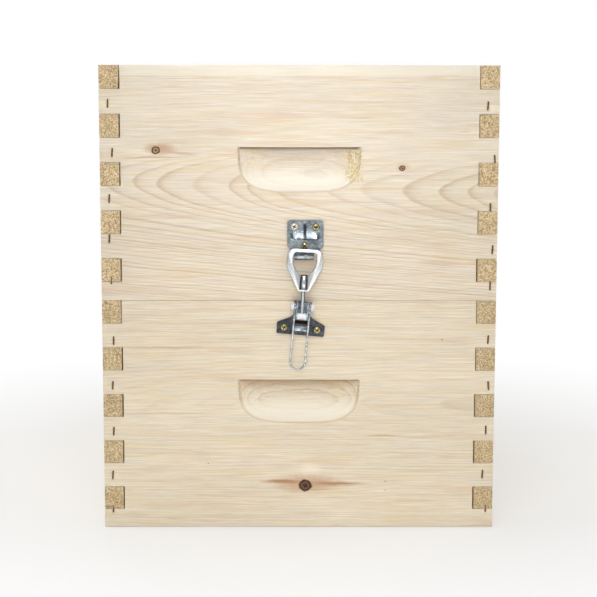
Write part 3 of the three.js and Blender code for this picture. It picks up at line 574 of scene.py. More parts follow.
for i, (lv, wh) in enumerate([("lower", "left"), ("lower", "right"), ("upper", "left"), ("upper", "right")]):
    sg = 1 if wh == "right" else -1
    m_side[(lv, wh)] = pine(f"pine_{lv}_{wh}", 1, (0, sg), sg * XH, w0=Z0[lv] + H * (0.35 + 0.1 * i), d0=46 + 10 * i, slope=0.07 * (1 if i % 2 else -1), ring=4.0,
                            seed=20.3 + 3.7 * i, end_tint=0.90 if lv == "lower" else 1.0, wave=4.0,
                            tint=(1.0, 0.985, 0.93) if lv == "lower" else (0.985, 0.97, 0.93),
                            knots=[(YC - 120 + 80 * i, Z0[lv] + 70 + 30 * (i % 2), 4.2, "ring" if i % 2 else "small")])
m_back = {lv: pine(f"pine_{lv}_back", 0, (1, 1), YB, w0=Z0[lv] + H * (0.55 if lv == "lower" else 0.4), d0=60, slope=-0.09, ring=3.8, seed=41 + (lv == "upper") * 7, wave=4.0,
                   tint=(1.0, 0.985, 0.93) if lv == "lower" else (0.985, 0.97, 0.93),
                   knots=[(-90 if lv == "lower" else 70, Z0[lv] + 60, 4.0, "ring")]) for lv in ("lower", "upper")}

for lv in ("lower", "upper"):
    body = lv + "_box"
    finish_piece(make_end_board(lv, "front"), body, [f"{lv}_front_board"], m_uf if lv == "upper" else m_lf)
    finish_piece(make_end_board(lv, "back"), body, [f"{lv}_back_board"], m_back[lv])
    for wh in ("left", "right"):
        finish_piece(make_side_board(lv, wh), body, [f"{lv}_{wh}_board"], m_side[(lv, wh)])

# ------------------------------------------------------------------ latch
# Latch coordinates are s across, t up the latch, and w out from the wood.
LATCH_X, LATCH_Z, LATCH_TILT = 3.7, 239.0, 5.0
TRUN_T, TRUN_W, DRAW_YAW, DRAW_LEAN = -10.0, 9.4, -1.8, 2.7
PIVOT_W, ROD_R, WIRE_R, BAIL_HALF, BAIL_END = 11.0, 2.0, 1.1, 7.7, -67.0
EAR_IN, EAR_OUT = 9.1, 10.6
CATCH_X, CATCH_LOW, CATCH_HIGH, CATCH_HALF = 6.4, 296.7, 328.6, 18.9
HOOK_X, HOOK_WIDE = 5.2, 20.5
_a = math.radians(LATCH_TILT)
LATCH = Matrix(((math.cos(_a), math.sin(_a), 0, LATCH_X), (0, 0, -1, YF), (-math.sin(_a), math.cos(_a), 0, LATCH_Z), (0, 0, 0, 1)))
WALL = Matrix(((1, 0, 0, 0), (0, 0, -1, YF), (0, 1, 0, 0), (0, 0, 0, 1)))
DRAW = LATCH @ Matrix.Translation((0, TRUN_T, TRUN_W)) @ Matrix.Rotation(math.radians(-DRAW_YAW), 4, "Z") @ Matrix.Rotation(math.radians(-DRAW_LEAN), 4, "X")

def placed(o, M):
    """Moves a mesh made in local millimetres into the shared frame."""
    me = o.data
    for v in me.vertices:
        v.co = (M @ (v.co / MM)) * MM
    me.update()
    return o

def joined(name, objs):
    bm = bmesh.new()
    for o in objs:
        o.data.update()
        bm.from_mesh(o.data)
    me = bpy.data.meshes.new(name)
    bm.to_mesh(me); bm.free()
    for o in objs: bpy.data.objects.remove(o)
    r = bpy.data.objects.new(name, me)
    COL.objects.link(r)
    return r

def rounded(pts, radii, seg=5):
    """Outline with its corners rounded; radii is one number or one per corner."""
    out, n = [], len(pts)
    for i in range(n):
        r = radii if isinstance(radii, (int, float)) else radii[i]
        p, a, b = Vector(pts[i]), Vector(pts[i - 1]), Vector(pts[(i + 1) % n])
        if r <= 0:
            out.append(tuple(p)); continue
        u, v = (a - p).normalized(), (b - p).normalized()
        ang = math.acos(max(-1, min(1, u.dot(v))))
        if ang > math.pi - 0.05:
            out.append(tuple(p)); continue
        t = min(r / math.tan(ang / 2), 0.46 * (a - p).length, 0.46 * (b - p).length)
        rr = t * math.tan(ang / 2)
        c = p + (u + v).normalized() * (rr / math.sin(ang / 2))
        s, e = p + u * t - c, p + v * t - c
        tot = s.angle(e)
        sgn = 1 if s.x * e.y - s.y * e.x > 0 else -1
        k = max(2, int(seg * tot / 1.2) + 1)
        for j in range(k + 1):
            q = sgn * tot * j / k
            out.append((c.x + s.x * math.cos(q) - s.y * math.sin(q), c.y + s.x * math.sin(q) + s.y * math.cos(q)))
    return out

def slab(name, outline, w0, w1):
    """Outline in the first two coordinates, thick along the third."""
    n = len(outline)
    verts = [(x, y, w0) for x, y in outline] + [(x, y, w1) for x, y in outline]
    return obj_from(name, verts, [list(range(n))[::-1], list(range(n, 2 * n))] + [[i, (i + 1) % n, n + (i + 1) % n, n + i] for i in range(n)])

def slab_s(name, outline, s0, s1):
    """Outline in the second and third coordinates, thick along the first."""
    n = len(outline)
    verts = [(s0, y, z) for y, z in outline] + [(s1, y, z) for y, z in outline]
    return obj_from(name, verts, [list(range(n))[::-1], list(range(n, 2 * n))] + [[i, (i + 1) % n, n + (i + 1) % n, n + i] for i in range(n)])

def lathe(name, profile, seg=32, axis=2, at=(0, 0, 0)):
    """Closed solid of revolution; profile is (radius, height) pairs, ends on the axis or a closed loop off it."""
    verts, faces, rows = [], [], []
    ring_shape = profile[0][0] > 1e-6
    for r, h in profile:
        if r < 1e-6:
            rows.append([len(verts)]); verts.append((0, 0, h))
        else:
            rows.append(list(range(len(verts), len(verts) + seg)))
            verts += [(r * math.cos(2 * math.pi * i / seg), r * math.sin(2 * math.pi * i / seg), h) for i in range(seg)]
    pairs = list(zip(rows, rows[1:])) + ([(rows[-1], rows[0])] if ring_shape else [])
    for a, b in pairs:
        for i in range(seg):
            j = (i + 1) % seg
            if len(a) == 1 and len(b) == 1: continue
            if len(a) == 1: faces.append([a[0], b[i], b[j]])
            elif len(b) == 1: faces.append([a[i], a[j], b[0]])
            else: faces.append([a[i], a[j], b[j], b[i]])
    if axis == 0: verts = [(z, x, y) for x, y, z in verts]
    if axis == 1: verts = [(y, z, x) for x, y, z in verts]
    verts = [(x + at[0], y + at[1], z + at[2]) for x, y, z in verts]
    return obj_from(name, verts, faces)

def drum(name, r, a, b, axis, c, seg=28, ch=0.0):
    """Round bar from a to b along an axis, chamfered at both ends."""
    prof = [(0, a), (r - ch, a), (r, a + ch), (r, b - ch), (r - ch, b), (0, b)] if ch else [(0, a), (r, a), (r, b), (0, b)]
    return lathe(name, prof, seg, axis, c)

def tube(name, pts, r, seg=14):
    """Round wire along a path, rotation-minimising frames, domed ends."""
    P = [Vector(p) for p in pts]
    T_ = [(P[min(i + 1, len(P) - 1)] - P[max(i - 1, 0)]).normalized() for i in range(len(P))]
    n = T_[0].orthogonal().normalized()
    verts, faces = [], []
    for i, p in enumerate(P):
        if i:
            q = T_[i - 1].rotation_difference(T_[i])
            n = q @ n
        b = T_[i].cross(n).normalized(); n = b.cross(T_[i]).normalized()
        for j in range(seg):
            a = 2 * math.pi * j / seg
            verts.append(tuple(p + n * (r * math.cos(a)) + b * (r * math.sin(a))))
    for i in range(len(P) - 1):
        for j in range(seg):
            a, b = i * seg + j, i * seg + (j + 1) % seg
            faces.append([a, b, b + seg, a + seg])
    for end, i in ((-1, 0), (1, len(P) - 1)):
        c = len(verts); verts.append(tuple(P[i] + T_[i] * (end * r * 0.55)))
        mid = len(verts)
        for j in range(seg):
            v = Vector(verts[i * seg + j]); verts.append(tuple(P[i] + (v - P[i]) * 0.72 + T_[i] * (end * r * 0.38)))
        for j in range(seg):
            k = (j + 1) % seg
            faces.append([i * seg + j, i * seg + k, mid + k, mid + j]); faces.append([mid + j, mid + k, c])
    return obj_from(name, verts, faces)

def catmull(pts, per=8):
    P = [Vector(p) for p in pts]
    P = [2 * P[0] - P[1]] + P + [2 * P[-1] - P[-2]]
    out = []
    for i in range(1, len(P) - 2):
        for k in range(per):
            t = k / per
            out.append(0.5 * ((2 * P[i]) + (P[i + 1] - P[i - 1]) * t + (2 * P[i - 1] - 5 * P[i] + 4 * P[i + 1] - P[i + 2]) * t * t
                              + (3 * P[i] - P[i - 1] - 3 * P[i + 1] + P[i + 2]) * t ** 3))
    return out + [P[-2]]

def ss(a, b, x):
    t = max(0.0, min(1.0, (x - a) / (b - a)))
    return t * t * (3 - 2 * t)

# pressed catch plate: one sheet with a gusset and two louvres, and the hook tongue bent out of its lower edge
def catch_relief(x, z):
    lipz = 309.4 - 0.02 * (x - 6)
    up = max(0.0, min(1.0, (lipz + 11.5 - z) / 10.8)) ** 2.6 * (1 if z > lipz else 0)
    win = ss(-9.8, -5.6, x) * ss(21.8, 17.8, x)
    gap = 1 - 0.6 * math.exp(-((x - 6.0) / 2.2) ** 2) * ss(lipz + 1.5, lipz + 6, z)
    louvre = 1.5 * up * win * gap
    rib = 2.1 * math.exp(-((x - 6.0) / (0.85 + 1.5 * ss(lipz + 5, lipz, z))) ** 2) * ss(326.4, 323.6, z) * ss(lipz - 1.6, lipz + 0.6, z)
    foot = 0.6 * math.exp(-((z - lipz + 0.3) / 0.7) ** 2) * win
    return max(louvre, rib, foot)

def make_catch():
    x0, x1, z0, z1 = CATCH_X - CATCH_HALF, CATCH_X + CATCH_HALF, CATCH_LOW, CATCH_HIGH
    outline = rounded([(x0 + 4.5, z0), (x1 - 4.5, z0), (x1, z0 + 5), (x1, z1), (x0, z1), (x0, z0 + 5)], [1, 1, 1.6, 2.6, 2.6, 1.6])
    step = 0.36
    nx, nz = int((x1 - x0 + 4) / step), int((z1 - z0 + 4) / step)
    verts, faces, id_ = [], [], {}
    for j in range(nz + 1):
        for i in range(nx + 1):
            x, z = x0 - 2 + i * (x1 - x0 + 4) / nx, z0 - 2 + j * (z1 - z0 + 4) / nz
            h = catch_relief(x, z)
            id_[i, j] = len(verts); verts.append((x, z, 1.9 + h)); verts.append((x, z, 0.3 + h * 0.92))
    for j in range(nz):
        for i in range(nx):
            a, b, c, d = id_[i, j], id_[i + 1, j], id_[i + 1, j + 1], id_[i, j + 1]
            faces += [[a, b, c, d], [a + 1, d + 1, c + 1, b + 1]]
    loop = [(i, 0) for i in range(nx)] + [(nx, j) for j in range(nz)] + [(i, nz) for i in range(nx, 0, -1)] + [(0, j) for j in range(nz, 0, -1)]
    for p, q in zip(loop, loop[1:] + loop[:1]):
        faces.append([id_[p], id_[p] + 1, id_[q] + 1, id_[q]])
    o = obj_from("catch_plate_pressed", verts, faces)
    cookie = slab("c", outline, -1.0, 8.0)
    cut(o, cookie, "INTERSECT")
    for (x, z) in CATCH_SCREWS:
        cut(o, drum("c", 2.3, -2, 8, 2, (x, z, 0), 24))
    path = catmull([(0, 300.2, 1.1), (0, 296.0, 1.1), (0, 292.6, 2.6), (0, 289.4, 6.6), (0, 288.9, 9.4), (0, 290.0, 11.6), (0, 292.8, 12.1)], 6)
    L, R = [], []
    for i, p in enumerate(path):
        d = (path[min(i + 1, len(path) - 1)] - path[max(i - 1, 0)]).normalized()
        n = Vector((0, -d.z, d.y))
        k = 0.75 if i < 7 else 0.8
        L.append((p.y + n.y * k, p.z + n.z * k)); R.append((p.y - n.y * k, p.z - n.z * k))
    hook = slab_s("c", L + R[::-1], HOOK_X - HOOK_WIDE / 2, HOOK_X + HOOK_WIDE / 2)
    bevel(hook, 0.35, 2, 40)
    o = joined("catch_plate_pressed", [o, hook])
    placed(o, WALL)
    return smooth_by_angle(o, 30)

def make_screw(name, M, at, under, turn, tilt=0.0, dish=0.35):
    """Cross-head screw: low domed head with a rolled edge, cross recess, threaded shank with a point."""
    top_ = under + 2.2
    prof = [(0, under - 15), (0.5, under - 14.3), (1.75, under - 11.4), (1.9, under - 11), (1.9, under), (3.55, under + 0.02), (3.8, under + 0.22), (3.8, under + 0.52),
            (3.62, under + 0.86), (3.1, under + 1.32), (2.4, under + 1.75), (1.5, top_ - 0.12), (0.8, top_ - 0.02), (0, top_)]
    o = lathe(name, prof, 36)
    for k in (0, 1):
        a = math.pi / 4 + turn + k * math.pi / 2
        hl, hw = 2.75, 0.62
        q = []
        for (l, w_, h) in ((hl, hw, top_ + 0.4), (0.9, hw * 0.8, top_ - 2.0)):
            for (sx, sy) in ((-1, -1), (1, -1), (1, 1), (-1, 1)):
                x, y = sx * l, sy * w_
                q.append((x * math.cos(a) - y * math.sin(a), x * math.sin(a) + y * math.cos(a), h))
        c = obj_from("c", q, [[0, 1, 2, 3], [7, 6, 5, 4], [0, 4, 5, 1], [1, 5, 6, 2], [2, 6, 7, 3], [3, 7, 4, 0]])
        cut(o, c)
    # faces inside the cross recess get the second material, dark as painted shade
    for p in o.data.polygons:
        c = p.center / MM
        rr = math.hypot(c.x, c.y)
        if rr < 2.95 and c.z > under + 0.1:
            dome = top_ - 0.30 * (rr / 1.6) ** 1.6 if rr < 2.4 else under + 1.75 - (rr - 2.4) * 0.62
            if c.z < dome - 0.16 or abs(p.normal.z) < 0.35: p.material_index = 1
    # thread on the shank
    helix = [(1.86 * math.cos(q), 1.86 * math.sin(q), under - 10.6 + 1.45 * q / (2 * math.pi)) for q in [i * math.pi / 8 for i in range(int(16 * 6.2))]]
    th = tube("c", helix, 0.16, 5)
    o = joined(name, [o, th])
    placed(o, M @ Matrix.Translation((at[0], at[1], 0)))
    return smooth_by_angle(o, 34)

CATCH_SCREWS = [(-4.9, 322.0), (17.4, 321.5), (5.7, 302.1)]
BASE_SCREWS = [(-17.3, -24.4), (17.3, -24.4)]

def make_base():
    B = 25.3
    outline = rounded([(-24.9, -31.2), (24.9, -31.2), (B, -19.4), (EAR_OUT, -12.6), (EAR_OUT, 4.2), (-EAR_OUT, 4.2), (-EAR_OUT, -12.6), (-B, -19.4)],
                      [1.6, 1.6, 1.8, 1.0, 0.6, 0.6, 1.0, 1.8])
    o = slab("base_plate_pressed", outline, 0.3, 2.1)
    slot_ = slab("c", rounded([(-6.8, -19.4), (6.8, -19.4), (6.8, -15.4), (-6.8, -15.4)], 1.0), 0.7, 6)
    cut(o, slot_)
    # pressed step across the plate under the slot
    step_ = slab("c", rounded([(-9.2, -27.2), (9.2, -27.2), (9.2, -21.8), (-9.2, -21.8)], 1.6), 1.2, 2.75)
    bevel(step_, 0.55, 3, 40)
    cut(o, step_, "UNION")
    arc = [(4.6 * math.cos(i * math.pi / 14), PIVOT_W + 4.6 * math.sin(i * math.pi / 14)) for i in range(15)]
    ear = [(4.2, 1.4), (4.6, 6)] + arc + [(-5.2, 7.5), (-7.2, 4.6), (-10.8, 2.5), (-12.0, 1.4)]
    for a, b in ((-EAR_OUT, -EAR_IN), (EAR_IN, EAR_OUT)):
        e = slab_s("c", ear, a, b)
        cut(o, e, "UNION")
    for (s, t) in BASE_SCREWS:
        cut(o, drum("c", 2.3, -2, 8, 2, (s, t, 0), 24))
    cut(o, drum("c", 2.45, -14, 14, 0, (0, 0, PIVOT_W), 28))
    bevel(o, 0.32, 2, 32)
    # material slots: the ears get the near-white rivet zinc as a painted highlight, the faces inside the slot get the
    # dark recess material as painted shade, and the raised step gets the catch zinc
    for p in o.data.polygons:
        c = p.center / MM
        if c.z > 3.4: p.material_index = 1
        elif abs(c.x) < 6.9 and -19.5 < c.y < -15.3 and c.z < 1.9: p.material_index = 2
        elif c.z > 2.2 and abs(c.x) < 9.3: p.material_index = 3
    placed(o, LATCH)
    return smooth_by_angle(o, 30)

def make_rivet(name, sg):
    prof = [(0, 4.8), (1.9, 4.8), (2.2, 5.1), (2.2, EAR_OUT + 0.2), (3.35, EAR_OUT + 0.24), (3.5, EAR_OUT + 0.42), (3.42, EAR_OUT + 0.78), (3.0, EAR_OUT + 1.22),
            (2.2, EAR_OUT + 1.62), (1.3, EAR_OUT + 1.86), (0.7, EAR_OUT + 1.93), (0.5, EAR_OUT + 1.62), (0, EAR_OUT + 1.55)]
    o = lathe(name, prof, 32, 0)
    if sg < 0:
        for v in o.data.vertices: v.co.x = -v.co.x
        o.data.flip_normals()
    # peened flats round the head
    bm = bmesh.new(); bm.from_mesh(o.data)
    for v in bm.verts:
        x = abs(v.co.x) / MM
        if x > EAR_OUT + 0.3:
            a = math.atan2(v.co.z, v.co.y); k = 1 - 0.075 * (0.5 + 0.5 * math.cos(6 * a)) * ss(EAR_OUT + 0.3, EAR_OUT + 0.7, x)
            v.co.y *= k; v.co.z *= k
    bm.to_mesh(o.data); bm.free()
    placed(o, LATCH @ Matrix.Translation((0, 0, PIVOT_W)))
    return smooth_by_angle(o, 30)

def make_bracket():
    prof = [(3.0, 3.4), (5.0, 7.6), (5.6, 10.0), (5.2, 13.0), (3.6, 15.2), (-8.6, 15.2), (-12.9, 13.4), (-14.2, 11.0), (-14.2, 3.4)]
    prof = rounded(prof, [0.6, 1.5, 2.5, 1.8, 1.8, 2.2, 1.6, 1.6, 0.5])
    o = slab_s("lever_bracket_pressed", prof, -6.4, 6.4)
    # hollow between the cheeks, with rounded bends at the web
    hol = [(-5.2, 30), (-5.2, 5.7), (-4.9, 5.0), (-4.2, 4.6), (4.2, 4.6), (4.9, 5.0), (5.2, 5.7), (5.2, 30)]
    n = len(hol)
    verts = [(s, -30, w) for s, w in hol] + [(s, 30, w) for s, w in hol]
    c = obj_from("c", verts, [list(range(n)), list(range(n, 2 * n))[::-1]] + [[i, (i + 1) % n, n + (i + 1) % n, n + i] for i in range(n)])
    cut(o, c)
    # outside bends
    for sg in (1, -1):
        k = [(sg * 6.4, 3.4 - 1), (sg * 6.4 + sg, 3.4 - 1), (sg * 6.4 + sg, 4.5), (sg * 6.4, 4.5), (sg * 6.2, 3.95), (sg * 5.85, 3.6), (sg * 5.3, 3.4), (sg * 5.3, 2.4)]
        n = len(k)
        verts = [(s, -30, w) for s, w in k] + [(s, 30, w) for s, w in k]
        c = obj_from("c", verts, [list(range(n)), list(range(n, 2 * n))[::-1]] + [[i, (i + 1) % n, n + (i + 1) % n, n + i] for i in range(n)])
        cut(o, c)
    cut(o, drum("c", 2.45, -9, 9, 0, (0, 0, PIVOT_W), 28))
    cut(o, drum("c", 2.3, -9, 9, 0, (0, TRUN_T, TRUN_W), 24))
    # rolled lower edge of the web
    cut(o, drum("c", 1.05, -6.1, 6.1, 0, (0, -14.1, 4.45), 20, 0.3), "UNION")
    bevel(o, 0.22, 2, 34)
    placed(o, LATCH)
    return smooth_by_angle(o, 30)

def make_bail():
    w_at = lambda t: PIVOT_W - 0.1 - ((-3.4 - t) / 64) * 3.8
    R = 2.45 + WIRE_R
    def eye(s, sgn):
        """Wire end wrapped round the pivot: from under the leg round to nearly closed."""
        out = []
        for i in range(27):
            q = math.radians(-150 + 330 * i / 26)     # angle in (t, w), 180 is towards the leg
            out.append((s, R * math.cos(q), PIVOT_W + R * math.sin(q)))
        return out
    leg = lambda s: [(s, t, w_at(t)) for t in (-8.5, -14, -20, -28, -36, -44, -52)]
    centre = BAIL_END + BAIL_HALF
    bend = [(BAIL_HALF * math.cos(i / 16 * math.pi), centre - BAIL_HALF * math.sin(i / 16 * math.pi)) for i in range(17)]
    bend = [(s, t, w_at(t)) for s, t in bend]
    right_eye = eye(BAIL_HALF, 1)                      # starts near the leg on the wood side, ends near it on the outside
    path = right_eye[::-1] + leg(BAIL_HALF) + bend + leg(-BAIL_HALF)[::-1] + eye(-BAIL_HALF, -1)
    path = catmull(path, 3)
    o = tube("bail_wire", [tuple(p) for p in path], WIRE_R, 16)
    placed(o, LATCH)
    return smooth_by_angle(o, 60)

def make_trunnion():
    prof = [(0, -6.4), (1.75, -6.4), (2.0, -6.15), (2.0, -4.9), (3.1, -4.9), (3.4, -4.6), (3.4, 4.6), (3.1, 4.9), (2.0, 4.9), (2.0, 6.15), (1.75, 6.4), (0, 6.4)]
    o = lathe("trunnion_turned", prof, 40, 0, (0, TRUN_T, TRUN_W))
    c = drum("c", ROD_R + 0.35, -8, 8, 1, (0, 0, 0), 28)
    placed(c, Matrix.Translation((0, TRUN_T, TRUN_W)) @ Matrix.Rotation(math.radians(-DRAW_YAW), 4, "Z") @ Matrix.Rotation(math.radians(-DRAW_LEAN), 4, "X"))
    cut(o, c)
    placed(o, LATCH)
    return smooth_by_angle(o, 34)

def make_rod():
    seg, pitch = 24, 0.8
    a, b = -4.0, 42.2
    n = 420
    verts, faces = [], []
    for j in range(n + 1):
        y = a + (b - a) * j / n
        th = ss(12.0, 13.0, y)
        ends = min(1.0, math.sqrt(max(0.05, min((y - a) / 0.5, (b - y) / 0.5, 1.0))))
        for i in range(seg):
            q = 2 * math.pi * i / seg
            saw = abs(((y / pitch - i / seg) % 1.0) * 2 - 1)
            r = (ROD_R + 0.24 - 0.30 * th * saw) * (0.80 + 0.20 * ends)
            verts.append((r * math.cos(q), y, r * math.sin(q)))
    for j in range(n):
        for i in range(seg):
            p, q = j * seg + i, j * seg + (i + 1) % seg
            faces.append([p, q, q + seg, p + seg])
    faces.append([i for i in range(seg)]); faces.append([n * seg + i for i in range(seg)])
    o = obj_from("draw_rod_threaded", verts, faces)
    placed(o, DRAW)
    return smooth_by_angle(o, 50)

def make_sleeve():
    a, b, i_, o_ = 28.0, 43.2, ROD_R + 0.35, 3.75
    prof = [(i_, a + 0.3), (i_ + 0.25, a), (o_ - 0.3, a), (o_, a + 0.35), (o_, a + 1.6), (o_ - 0.28, a + 1.9), (o_ - 0.28, a + 2.5), (o_ - 0.05, a + 2.9),
            (o_ - 0.05, b - 2.6), (o_ - 0.22, b - 2.2), (o_ - 0.22, b - 1.8), (o_, b - 1.4), (o_, b - 0.5), (o_ - 0.4, b), (i_ + 0.25, b), (i_, b - 0.3)]
    o = lathe("adjuster_sleeve_turned", prof, 36, 1)
    placed(o, DRAW)
    return smooth_by_angle(o, 30)

def offset(pts, d):
    """Closed outline moved out by d along its mean corner normals."""
    n, out = len(pts), []
    area = sum(pts[i][0] * pts[(i + 1) % n][1] - pts[(i + 1) % n][0] * pts[i][1] for i in range(n))
    sg = 1 if area > 0 else -1
    for i in range(n):
        a, p, b = Vector(pts[i - 1]), Vector(pts[i]), Vector(pts[(i + 1) % n])
        e1, e2 = (p - a).normalized(), (b - p).normalized()
        n1, n2 = Vector((e1.y, -e1.x)) * sg, Vector((e2.y, -e2.x)) * sg
        m = (n1 + n2) / max(0.35, 1 + n1.dot(n2))
        out.append((p.x + m.x * d, p.y + m.y * d))
    return out

def loft(name, rows):
    """Closed solid through outlines of equal length, each (outline, height)."""
    n = len(rows[0][0])
    verts = [(x, y, h) for pts, h in rows for x, y in pts]
    faces = [list(range(n))[::-1], list(range(n * (len(rows) - 1), n * len(rows)))]
    for k in range(len(rows) - 1):
        faces += [[k * n + i, k * n + (i + 1) % n, (k + 1) * n + (i + 1) % n, (k + 1) * n + i] for i in range(n)]
    return obj_from(name, verts, faces)

def make_claw():
    outer = rounded([(5.7, 26.1), (18.9, 51.5), (18.2, 65.5), (15.6, 68.6), (12.3, 70.2), (-12.3, 70.2), (-15.6, 68.6), (-18.2, 65.5), (-18.9, 51.5), (-5.7, 26.1)],
                    [0.8, 5.0, 3.0, 2.5, 3.0, 3.0, 2.5, 3.0, 5.0, 0.8], 6)
    inner = rounded([(3.9, 28.0), (3.9, 40.8), (12.0, 53.5), (12.2, 58.0), (11.6, 64.6), (9.8, 66.4), (-9.8, 66.4), (-11.6, 64.6), (-12.2, 58.0), (-12.0, 53.5), (-3.9, 40.8), (-3.9, 28.0)],
                    [0.3, 1.6, 4.0, 3.0, 1.8, 1.5, 1.5, 1.8, 3.0, 4.0, 1.6, 0.3], 6)
    # stamped strip with rolled-over edges
    b = 0.62
    o = loft("claw_pressed", [(offset(outer, -b), -1.3), (offset(outer, -b * 0.3), -1.3 + b * 0.35), (outer, -1.3 + b), (outer, 1.3 - b), (offset(outer, -b * 0.3), 1.3 - b * 0.35), (offset(outer, -b), 1.3)])
    cut(o, loft("c", [(offset(inner, b), -2.4), (offset(inner, b), -1.3), (offset(inner, b * 0.3), -1.3 + b * 0.35), (inner, -1.3 + b), (inner, 1.3 - b),
                      (offset(inner, b * 0.3), 1.3 - b * 0.35), (offset(inner, b), 1.3), (offset(inner, b), 2.4)]))
    fl = slab("c", rounded([(-4.6, 26.1), (4.6, 26.1), (4.6, 27.8), (-4.6, 27.8)], 0.35), -3.4, 3.4)
    cut(o, fl, "UNION")
    cut(o, drum("c", ROD_R + 0.35, 20, 32, 1, (0, 0, 0), 28))
    placed(o, DRAW)
    return smooth_by_angle(o, 30)

m_catch = metal("zinc_catch", lin(168, 178, 182), lin(98, 108, 116), rough=(0.22, 0.36), scale=0.16, spangle=0.35, stain=lin(118, 116, 108), edge=0.5)
m_base = metal("zinc_base", lin(92, 94, 98), lin(50, 54, 60), rough=(0.30, 0.45), scale=0.2, spangle=0.3, stain=lin(70, 70, 72), edge=0.4)
m_bracket = metal("zinc_bracket", lin(222, 230, 238), lin(122, 136, 154), rough=(0.16, 0.30), scale=0.34, scratch=0.4, metallic=0.55)
m_claw = metal("zinc_claw", lin(255, 255, 255), lin(222, 228, 233), rough=(0.24, 0.40), scale=1.3, spangle=1.3, scratch=0.8, edge=0.82, turn=(0.80, 0.985))
m_wire = metal("zinc_wire", lin(206, 210, 212), lin(140, 142, 142), rough=(0.18, 0.30), scale=0.4)
m_rod = metal("zinc_rod", lin(236, 240, 244), lin(196, 202, 208), rough=(0.18, 0.30), scale=0.5, metallic=0.6, edge=0.72)
m_sleeve = metal("zinc_sleeve", lin(226, 232, 236), lin(166, 174, 180), rough=(0.12, 0.24), scale=0.3, metallic=0.7, edge=0.93, turn=(0.72, 0.97))
m_rivet = metal("zinc_rivet", lin(250, 251, 252), lin(216, 220, 224), rough=(0.18, 0.32), scale=0.7, metallic=0.15)
m_yellow = metal("zinc_yellow", lin(232, 218, 164), lin(176, 158, 104), rough=(0.18, 0.34), scale=0.5, stain=lin(140, 126, 84), edge=0.92, turn=(0.60, 0.92))
# painted shade: near-black brown for the insides of the screws' cross recesses and the base plate's slot, where only
# shade falls
m_recess_shade = metal("recess_painted_shade", lin(52, 42, 26), lin(24, 20, 14), rough=(0.5, 0.7), scale=0.8, metallic=0.4)
# painted highlight: a paler, whiter copy of the yellow zinc for the left catch screw, which shows brighter than the
# other screws
m_yellow_highlight = metal("zinc_yellow_painted_highlight", lin(255, 252, 238), lin(242, 230, 196), rough=(0.18, 0.30), scale=0.5, edge=0.55, metallic=0.5)

finish_piece(make_catch(), "upper_box", ["catch_plate"], m_catch)
for nm, at, turn, mt in (("left", CATCH_SCREWS[0], 0.35, m_yellow_highlight), ("right", CATCH_SCREWS[1], 0.75, m_yellow), ("lower", CATCH_SCREWS[2], 0.1, m_yellow)):
    o = make_screw(f"catch_screw_{nm}_crosshead", WALL, at, 2.05, turn)
    set_mat(o, mt, m_recess_shade)
    finish_piece(o, "upper_box", [f"catch_screw_{nm}"])
o = make_base()
set_mat(o, m_base, m_rivet, m_recess_shade, m_catch)
finish_piece(o, "lower_box", ["base_plate"])
for nm, at, turn in (("left", BASE_SCREWS[0], 0.5), ("right", BASE_SCREWS[1], 0.15)):
    o = make_screw(f"base_screw_{nm}_crosshead", LATCH, at, 2.25, turn)
    set_mat(o, m_yellow, m_recess_shade)
    finish_piece(o, "lower_box", [f"base_screw_{nm}"])
for nm, sg in (("right", 1), ("left", -1)):
    finish_piece(make_rivet(f"pivot_rivet_{nm}_peened", sg), "lower_box", [f"pivot_rivet_{nm}"], m_rivet)
finish_piece(make_bracket(), "bail_lever", ["lever_bracket"], m_bracket)
finish_piece(make_bail(), "bail_lever", ["bail_handle"], m_wire)
finish_piece(make_trunnion(), "draw_bar", ["trunnion"], m_rivet)
finish_piece(make_rod(), "draw_bar", ["draw_rod"], m_rod)
finish_piece(make_sleeve(), "claw_nut", ["adjuster_sleeve"], m_sleeve)
finish_piece(make_claw(), "claw_nut", ["claw"], m_claw)

# ------------------------------------------------------------------ frames
FRAME_PITCH, TB_LONG, TB_W, LUG_H, FR_H = 35.0, 482.0, 27.0, 9.5, 232.0
FR_LONG, EB_T, EB_W, EB_N, SH_LOW, BB_W, BB_H = 448.0, 9.5, 34.4, 27.0, 138.0, 19.0, 10.0
TOP_LOW, LUG_LOW = FR_H - 19.0, FR_H - LUG_H
REST = H - 19.0 - LUG_LOW + 0.2
SHEET_T = 4.0

def bar(name, pts, a, b, along):
    """Profile pulled along x ('x', profile in y, z), y ('y', profile in x, z)."""
    n = len(pts)
    if along == "x": verts = [(a, p, q) for p, q in pts] + [(b, p, q) for p, q in pts]
    else: verts = [(p, a, q) for p, q in pts] + [(p, b, q) for p, q in pts]
    return obj_from(name, verts, [list(range(n))[::-1], list(range(n, 2 * n))] + [[i, (i + 1) % n, n + (i + 1) % n, n + i] for i in range(n)])

